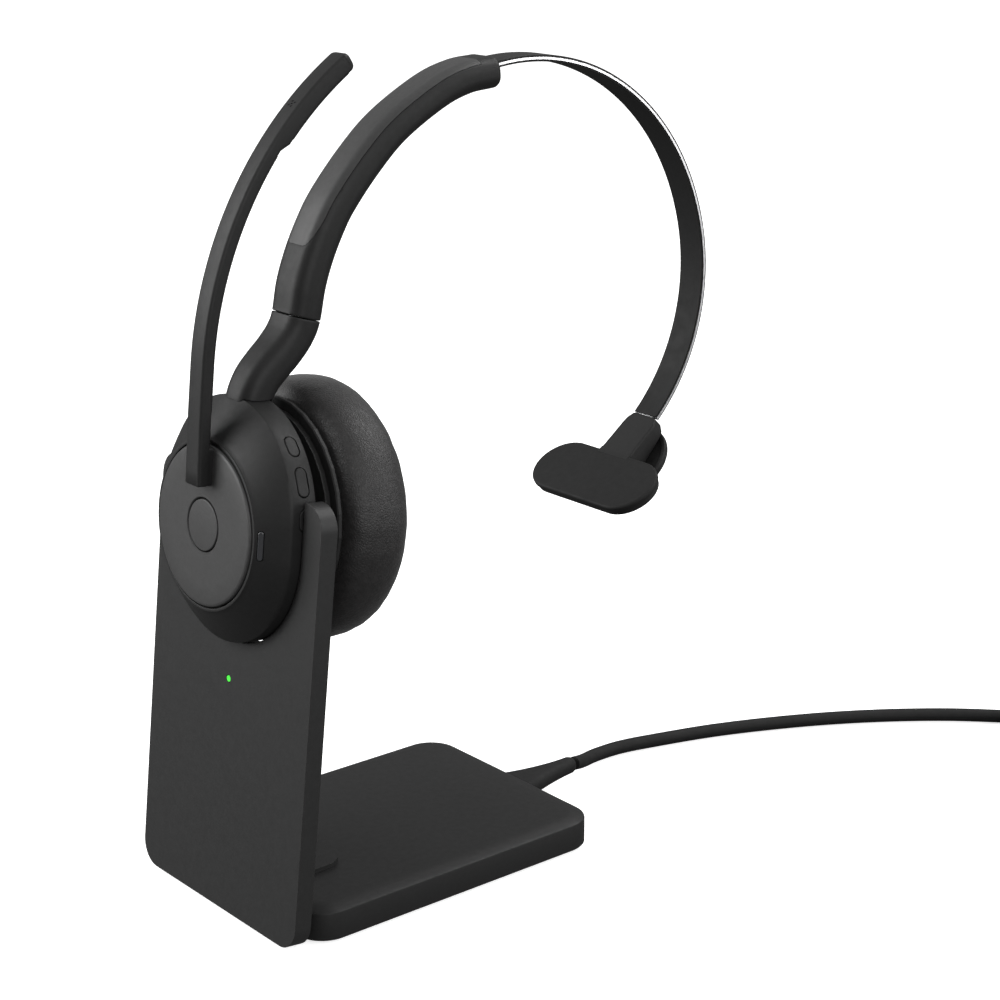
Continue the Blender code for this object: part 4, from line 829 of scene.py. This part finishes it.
def build_boom():
    last = BOOM_ROOT_POINTS + BOOM_ARC_STEPS
    mic_first = boom_station(MIC_START)
    proud = BOOM_COVER_PROUD
    depths = [BOOM_THICK - proud] * mic_first + [(BOOM_THICK + MIC_THICK) / 2 - proud]
    depths += [MIC_THICK - proud] * (last + 1 - len(depths))
    rings = boom_sections(BOOM_WIDTH / 2, 0.0, depths, 0, 0.9, True)
    arm = add_piece("boom_arm", loft(rings), "matte_black", "boom", CUP, ["boom_front_cover"])
    outline = rounded_rectangle(BOOM_WIDTH / 2 - 0.06, 4.75, 0.9, 6, (0, BOOM_ROOT_V + 4.85))
    combine(arm, [helper("root", prism(outline, -0.3, BOOM_FRONT_Z - 1.2), CUP)], "UNION")
    combine(arm, microphone_holes())

    cover_half_width = BOOM_WIDTH / 2 - 0.7
    rings = boom_sections(cover_half_width, BOOM_THICK - 0.6, [BOOM_THICK] * (mic_first - 4), 3, 0.25,
                          False)
    cover = add_piece("boom_back", loft(rings), "matte_black", "boom", CUP, ["boom_rear_cover"])
    combine(cover, [helper("trim", box_mesh((-5, 0, -9), (5, 20.6, 9)), CUP)])
    rings = boom_sections(cover_half_width, MIC_THICK - 0.6, [MIC_THICK] * (last - mic_first - 2),
                          mic_first + 2, 0.25, True)
    add_piece("mic_housing", loft(rings), "matte_black", "boom", CUP,
              ["microphone_housing", "microphone_capsule"])


# ================================================================ headband
def headband_sizes(index, total):
    t = index / total
    half_width = 5.6 + 0.9 * min(1.0, t * 2.2)
    half_thick = 4.75 - 0.75 * max(0.0, (t - 0.45) / 0.55)
    return half_width, half_thick, half_thick * 0.82


def headband_ring(stations, index, grow=0.0, shift=0.0):
    half_width, half_thick, radius = headband_sizes(index, len(stations) - 1)
    section = rounded_rectangle(half_width + grow, half_thick + grow, radius + grow * 0.8, 8)
    return side_ring(stations[index], section, shift)


def cup_solid():
    """The cup as a plain solid, a little large, to trim the neck where they meet."""
    rings = [oval_ring(DISC_R + FLANK_GAP, 0, 0, -0.3)]
    rings += [flank_ring(i / 6, 0.3) for i in range(7)]
    rings.append(rim_ring(CUP_R + 0.4, RIM_BACK_Z - 0.3))
    return loft(rings)


def build_neck(stations, seam):
    rings = [headband_ring(stations, i) for i in range(seam)]
    for grow, shift in ((0.0, -0.25), (-0.08, -0.06), (-0.25, 0.0)):
        rings.append(headband_ring(stations, seam, grow, shift))
    neck = add_piece("neck_arm", loft(rings), "matte_black", "cup", WORLD, ["neck"], 45.0)
    combine(neck, [helper("cup_space", cup_solid(), CUP)])


def cover_region(stations, first, last, drop, spread):
    """The space of the outer cover, deeper by drop and longer by spread at both ends."""
    rings = []
    for i in range(first, last + 1):
        _, half_thick, _ = headband_sizes(i, len(stations) - 1)
        ease = max(0.0, 1.0 - (i - first) / 14.0)
        low = half_thick - 1.15 + 1.6 * ease * ease - drop
        section = [(-9, low), (9, low), (9, half_thick + 3), (-9, half_thick + 3)]
        shift = -spread if i == first else spread if i == last else 0.0
        rings.append(side_ring(stations[i], section, shift))
    return helper("cover_region", loft(rings))


def band_centre():
    """Centre of the band's first arc, on which it slides."""
    heading = math.radians(BAND_HEADING)
    return (BAND_EXIT[0] + BAND_ARCS[0][0] * math.sin(heading),
            BAND_EXIT[1] - BAND_ARCS[0][0] * math.cos(heading))


def inner_arc(before, after, steps):
    """Points of the first arc's circle, from before its start to after it, in degrees."""
    start = 90 + BAND_HEADING
    return [Vector(p) for p in arc(band_centre(), BAND_ARCS[0][0], start + before, start - after, steps)]


def band_channel():
    section = [(-5.0, -1.35), (5.0, -1.35), (5.0, 1.35), (-5.0, 1.35)]
    return helper("band_channel", loft([side_ring(s, section) for s in side_frames(inner_arc(32, 8, 30))]))


def build_housing(stations, seam):
    total = len(stations) - 1
    rings = []
    for grow, shift in ((-0.25, 0.22), (-0.08, 0.28), (0.0, 0.45)):
        rings.append(headband_ring(stations, seam, grow, shift))
    rings += [headband_ring(stations, i) for i in range(seam + 1, total + 1)]
    for shrink, shift in ((0.05, 0.45), (0.3, 0.95), (0.8, 1.3), (1.5, 1.5)):
        rings.append(headband_ring(stations, total, -shrink, shift))
    housing = add_piece("band_housing", loft(rings), "matte_black", "headband", WORLD,
                        ["headband_housing"], 45.0)
    # The cover takes the lighter satin copy: painted light on the headband's outer face.
    cover = add_piece("band_cover", loft(rings), "satin_black", "headband", WORLD, ["headband_cover"],
                      45.0, "painted_light_satin")
    first = seam + 2 * HEADBAND_STEPS
    last = total - 6
    combine(cover, [cover_region(stations, first, last, 0.0, 0.0)], "INTERSECT")
    combine(cover, [band_channel()])
    combine(housing, [cover_region(stations, first, last, 0.12, 0.12), band_channel()])
    soften(cover, 0.12, 2, 40)


def build_band():
    line = side_frames(inner_arc(30, 0, 24)[:-1] + arc_path(BAND_EXIT, BAND_HEADING, BAND_ARCS, 1.5))
    half = BAND_THICK / 2
    steel = band_strip("band_steel", line, BAND_WIDTH / 2, -half, half, "spring_steel",
                       ["steel_band"])
    rest, _ = rest_place()
    tail_outline = [(-2.6, -4.0), (2.6, -4.0)] + arc((0, HUB_Y), 2.6, 0, 180, 16)
    combine(steel, [helper("tail", prism(tail_outline, 0.04 - half, half - 0.04), rest)], "UNION")
    soften(steel, 0.12, 2)
    face_half_width = BAND_WIDTH / 2 - 0.2
    outer = band_strip("band_outer_face", line, face_half_width, half + 0.1, half + 0.6,
                       "matte_black", ["band_outer_strip"])
    inner = band_strip("band_inner_face", line, face_half_width, -half - 0.6, -half - 0.1,
                       "soft_rubber", ["band_inner_strip"])
    soften(outer, 0.15, 2)
    soften(inner, 0.15, 2)


def build_headband():
    stations = side_frames(smooth_curve(HEADBAND_GUIDE, HEADBAND_STEPS))
    seam = SEAM_STATION * HEADBAND_STEPS
    build_neck(stations, seam)
    build_housing(stations, seam)
    build_band()


def arc_path(start, heading, arcs, step):
    """Points along arcs that follow each other, each a radius and the angle that it turns."""
    points = [Vector(start)]
    angle = heading
    for radius, sweep in arcs:
        count = max(1, round(sweep / step))
        turn = sweep / count
        chord = 2 * radius * math.sin(math.radians(turn) / 2)
        for _ in range(count):
            middle = math.radians(angle - turn / 2)
            points.append(points[-1] + chord * Vector((math.cos(middle), math.sin(middle))))
            angle -= turn
    return points


def band_strip(name, line, half_width, low, high, shade, replaced):
    section = [(-half_width, low), (half_width, low), (half_width, high), (-half_width, high)]
    return add_piece(name, loft([side_ring(s, section) for s in line]), shade, "band", WORLD, replaced,
                     25.0)


# ================================================================ head rest
def rest_place():
    """Frame at the head rest's top edge: y along the band's last direction, z outwards."""
    points = arc_path(BAND_EXIT, BAND_HEADING, BAND_ARCS, 6.0)
    along = (points[-1] - points[-2]).normalized()
    start = points[-1] + along * REST_GAP
    y_axis = Vector((0, along[0], along[1]))
    matrix = place(Vector((0, start[0], start[1])), (1, 0, 0), y_axis, Vector((1, 0, 0)).cross(y_axis))
    pad = matrix @ Matrix.Translation((0, CREASE_Y, CREASE_DEPTH))
    pad = pad @ Matrix.Rotation(math.radians(-PAD_TILT), 4, "X")
    return matrix, pad


def sideways_oval(half_length, radius, centre):
    straight = half_length - radius
    return arc((straight, centre), radius, -90, 90, 24) + arc((-straight, centre), radius, 90, 270, 24)


def build_head_rest():
    rest, pad = rest_place()
    rings = []
    for y, half_width, low, high in ((-0.75, 3.9, -0.90, 2.2), (-0.5, 4.5, -0.95, 2.8),
                                     (0.2, 4.9, -1.0, 3.2), (0.8, 5.35, -1.05, 3.5),
                                     (1.4, 5.6, -1.1, 3.7), (2.2, 5.72, -1.2, 3.78),
                                     (3.2, 5.8, -1.35, 3.8), (6.0, 5.86, -1.78, 3.8),
                                     (9.0, 5.92, -2.22, 3.8),
                                     (CREASE_Y - 0.05, 6.0, CREASE_DEPTH - 0.02, 3.8)):
        section = rounded_rectangle(half_width, (high - low) / 2, 0.6, 5, (0, (high + low) / 2))
        rings.append([(x, y, z) for x, z in section])
    bar = add_piece("rest_bar", loft(rings), "matte_black", "head_rest", rest, ["head_rest_bar"])
    plate = helper("plate", prism(sideways_oval(PAD_HALF_LENGTH - 0.6, PAD_HALF_HEIGHT - 0.6,
                                                PAD_HALF_HEIGHT), 2.0, 3.3), pad)
    bridge = helper("bridge", box_mesh((-5.6, -2.6, 2.2), (5.6, 3.0, 3.28)), pad)
    root = helper("root", box_mesh((-5.93, -0.9, -0.03), (5.93, 1.4, 2.4)), pad)
    combine(bar, [plate, bridge, root], "UNION")
    combine(bar, [helper("pocket", box_mesh((-3.9, -3, -0.6), (3.9, CREASE_Y + 0.2, 0.6)), rest)])
    soften(bar, 0.2, 2, 50)
    face = add_piece("rest_face", prism(sideways_oval(PAD_HALF_LENGTH, PAD_HALF_HEIGHT,
                                                      PAD_HALF_HEIGHT), 0.0, 1.95),
                     "soft_rubber", "head_rest", pad, ["head_rest_pad"])
    soften(face, 0.75, 5)
    profile = fillet_profile([
        (0.02, 6.9), (HUB_R - 2.2, 6.9), (HUB_R - 0.6, 6.5), (HUB_R, 5.8), (HUB_R, 4.1),
        (HUB_R - 1.2, 4.1), (HUB_R - 1.2, 4.6), (1.3, 4.6), (1.3, -0.45), (0.02, -0.45)],
        [1.0, 0.5, 0.5, 0.2, 0.2, 0.1, 0.1, 0.1])
    add_piece("rest_hub", revolve(profile), "matte_black", "head_rest",
              rest @ Matrix.Translation((0, HUB_Y, 0)), ["head_rest_hub"])


# ================================================================ ear cushion
CUSHION_PROFILE = [
    (22.5, -21.1), (29.4, -21.0), (31.4, -21.9), (33.2, -24.3), (34.3, -28.2), (34.5, -32.0),
    (34.0, -36.0), (32.4, -39.2), (29.6, -41.3), (26.2, -42.2), (22.8, -41.9), (19.6, -40.3),
    (17.6, -37.6), (16.9, -34.4), (17.6, -31.6), (19.9, -31.4), (20.3, -29.0), (20.6, -23.0)]
CUSHION_CENTRE = Vector((26.0, -31.5))
CUSHION_SHRINK = 0.85         # how far inside its profile the ring starts before it is inflated
CUSHION_CAP = 0.9
CLOTH_FRAMES = 20
SEAM_Z = -24.0


def inflate(obj):
    """Blow the cushion up as cloth, limit how far each point moves, and keep the result."""
    rest = [v.co.copy() for v in obj.data.vertices]
    cloth = obj.modifiers.new("cloth", "CLOTH")
    cloth.settings.use_pressure = True
    cloth.settings.uniform_pressure_force = 4.0
    cloth.settings.effector_weights.gravity = 0.0
    cloth.settings.tension_stiffness = 15.0
    cloth.settings.bending_stiffness = 0.5
    cloth.point_cache.frame_start = 1
    cloth.point_cache.frame_end = CLOTH_FRAMES
    scene = bpy.context.scene
    for step in range(1, CLOTH_FRAMES + 1):
        scene.frame_set(step)
    evaluated = obj.evaluated_get(bpy.context.evaluated_depsgraph_get())
    blown = [v.co.copy() for v in evaluated.data.vertices]
    obj.modifiers.remove(cloth)
    scene.frame_set(1)
    for vertex, start, end in zip(obj.data.vertices, rest, blown):
        move = end - start
        limit = CUSHION_CAP * MM
        if move.length > limit:
            move = move.normalized() * limit
        vertex.co = start + move


def cushion_outline():
    """The ring's closed section before it is inflated."""
    shrunk = []
    for point in CUSHION_PROFILE:
        offset = Vector(point) - CUSHION_CENTRE
        shrunk.append(CUSHION_CENTRE + offset * (1 - CUSHION_SHRINK / offset.length))
    closed = [shrunk[-1]] + shrunk + [shrunk[0], shrunk[1]]
    outline = []
    for i in range(1, len(closed) - 2):
        for k in range(4):
            outline.append(spline_point(closed[i - 1:i + 3], k / 4))
    return outline


def crumple(cushion):
    """Move the surface in and out for soft waves, and for finer folds near the seam."""
    inverse = (Matrix.Scale(MM, 4) @ CUSHION).inverted()
    normal_turn = CUSHION.to_3x3()
    for vertex in cushion.data.vertices:
        local = inverse @ vertex.co
        radius = math.hypot(local.x, local.y)
        around = math.atan2(local.y, local.x)
        tube = Vector((radius - CUSHION_CENTRE[0], local.z - CUSHION_CENTRE[1]))
        if tube.length < 0.001:
            continue
        tube.normalize()
        facing = max(0.0, tube[0]) + max(0.0, -tube[1])
        cosine = math.cos(around)
        sine = math.sin(around)
        wave = noise.noise(Vector((cosine * 9.0, sine * 9.0, local.z * 0.06)))
        fold = noise.noise(Vector((cosine * 26.0, sine * 26.0, local.z * 0.22)))
        edge = max(0.0, 1.0 - abs(local.z - SEAM_Z) / 8.0)
        depth = (0.09 * wave + 0.07 * fold * (edge * 1.6 + 0.35)) * (0.5 + 0.5 * facing)
        push = Vector((cosine * tube[0], sine * tube[0], tube[1])) * depth
        vertex.co += (normal_turn @ push) * MM


def build_cushion():
    cushion = add_piece("ear_pad", revolve(cushion_outline(), 144, True), "leatherette", "cushion",
                        CUSHION, ["ear_cushion"], 180.0)
    remesh = cushion.modifiers.new("remesh", "REMESH")
    remesh.mode = "VOXEL"
    remesh.voxel_size = 0.0022
    remesh.use_smooth_shade = True
    apply_modifiers(cushion)
    inflate(cushion)
    smooth = cushion.modifiers.new("smooth", "SMOOTH")
    smooth.factor = 0.5
    smooth.iterations = 12
    subdivide = cushion.modifiers.new("subdivide", "SUBSURF")
    subdivide.levels = 1
    subdivide.render_levels = 1
    apply_modifiers(cushion)
    crumple(cushion)
    cushion.data.shade_smooth()


# ================================================================ stage and light
def area_light(name, place_at, aim, size, power):
    data = bpy.data.lights.new(name, "AREA")
    data.shape = "RECTANGLE"
    data.size, data.size_y = size
    data.energy = power
    light = bpy.data.objects.new(name, data)
    light.location = place_at
    direction = Vector(aim) - Vector(place_at)
    light.rotation_euler = direction.to_track_quat("-Z", "Y").to_euler()
    bpy.context.scene.collection.objects.link(light)


def build_floor():
    """A white floor that shows its shadows but doesn't light the object."""
    bm = bmesh.new()
    bmesh.ops.create_grid(bm, x_segments=8, y_segments=8, size=3.0)
    mesh = bpy.data.meshes.new("floor")
    bm.to_mesh(mesh)
    bm.free()
    floor = bpy.data.objects.new("floor", mesh)
    floor.location = (0, 0, -0.0001)
    floor.visible_diffuse = False
    floor.visible_glossy = False
    bpy.context.scene.collection.objects.link(floor)
    nodes = Nodes("floor_paper", (0.8, 0.8, 0.8), 0.9)
    nodes.tint(nodes.noise(3.0), (0.79, 0.79, 0.79), (0.81, 0.81, 0.81))
    nodes.shader.inputs["Emission Color"].default_value = (1.0, 1.0, 1.0, 1.0)
    nodes.shader.inputs["Emission Strength"].default_value = 0.72
    nodes.shader.inputs["Specular IOR Level"].default_value = 0.0
    mesh.materials.append(nodes.material)


def build_world():
    """A white sky, dim below and brighter overhead."""
    world = bpy.data.worlds.new("studio")
    world.use_nodes = True
    tree = world.node_tree
    direction = tree.nodes.new("ShaderNodeTexCoord").outputs["Generated"]
    split = tree.nodes.new("ShaderNodeSeparateXYZ")
    ramp = tree.nodes.new("ShaderNodeMapRange")
    ramp.inputs["From Max"].default_value = 0.8
    ramp.inputs["To Min"].default_value = 0.15
    ramp.inputs["To Max"].default_value = 0.6
    tree.links.new(direction, split.inputs["Vector"])
    tree.links.new(split.outputs["Z"], ramp.inputs["Value"])
    tree.links.new(ramp.outputs["Result"], tree.nodes["Background"].inputs["Strength"])
    tree.nodes["Background"].inputs["Color"].default_value = (1.0, 1.0, 1.0, 1.0)
    bpy.context.scene.world = world


def build_stage():
    build_floor()
    build_world()
    bpy.context.scene.view_settings.view_transform = "Standard"
    area_light("key", (-1.0, -1.3, 0.75), (0, 0, 0.1), (1.4, 1.4), 40.0)
    area_light("side", (1.3, -0.35, 0.55), (0, 0, 0.1), (0.9, 0.9), 9.0)
    area_light("rim", (1.1, 0.95, 0.45), (0, 0, 0.12), (0.6, 0.9), 7.0)
    area_light("back", (0.2, 1.0, 1.2), (0, 0, 0.1), (1.0, 0.6), 12.0)


def dress_nodes():
    """Give each CAD node the material that the record names for it."""
    for part in frame["record"]["subparts"]:
        node = frame["nodes"][part["node"]]
        for material_slot in node.material_slots:
            material_slot.material = materials[part["material_slot"]]


make_camera()
materials = make_materials()
dress_nodes()
build_lead()
build_plate()
build_base()
build_relief()
build_cup()
build_mute_key()
build_disc()
build_boom()
build_headband()
build_head_rest()
build_cushion()
build_stage()
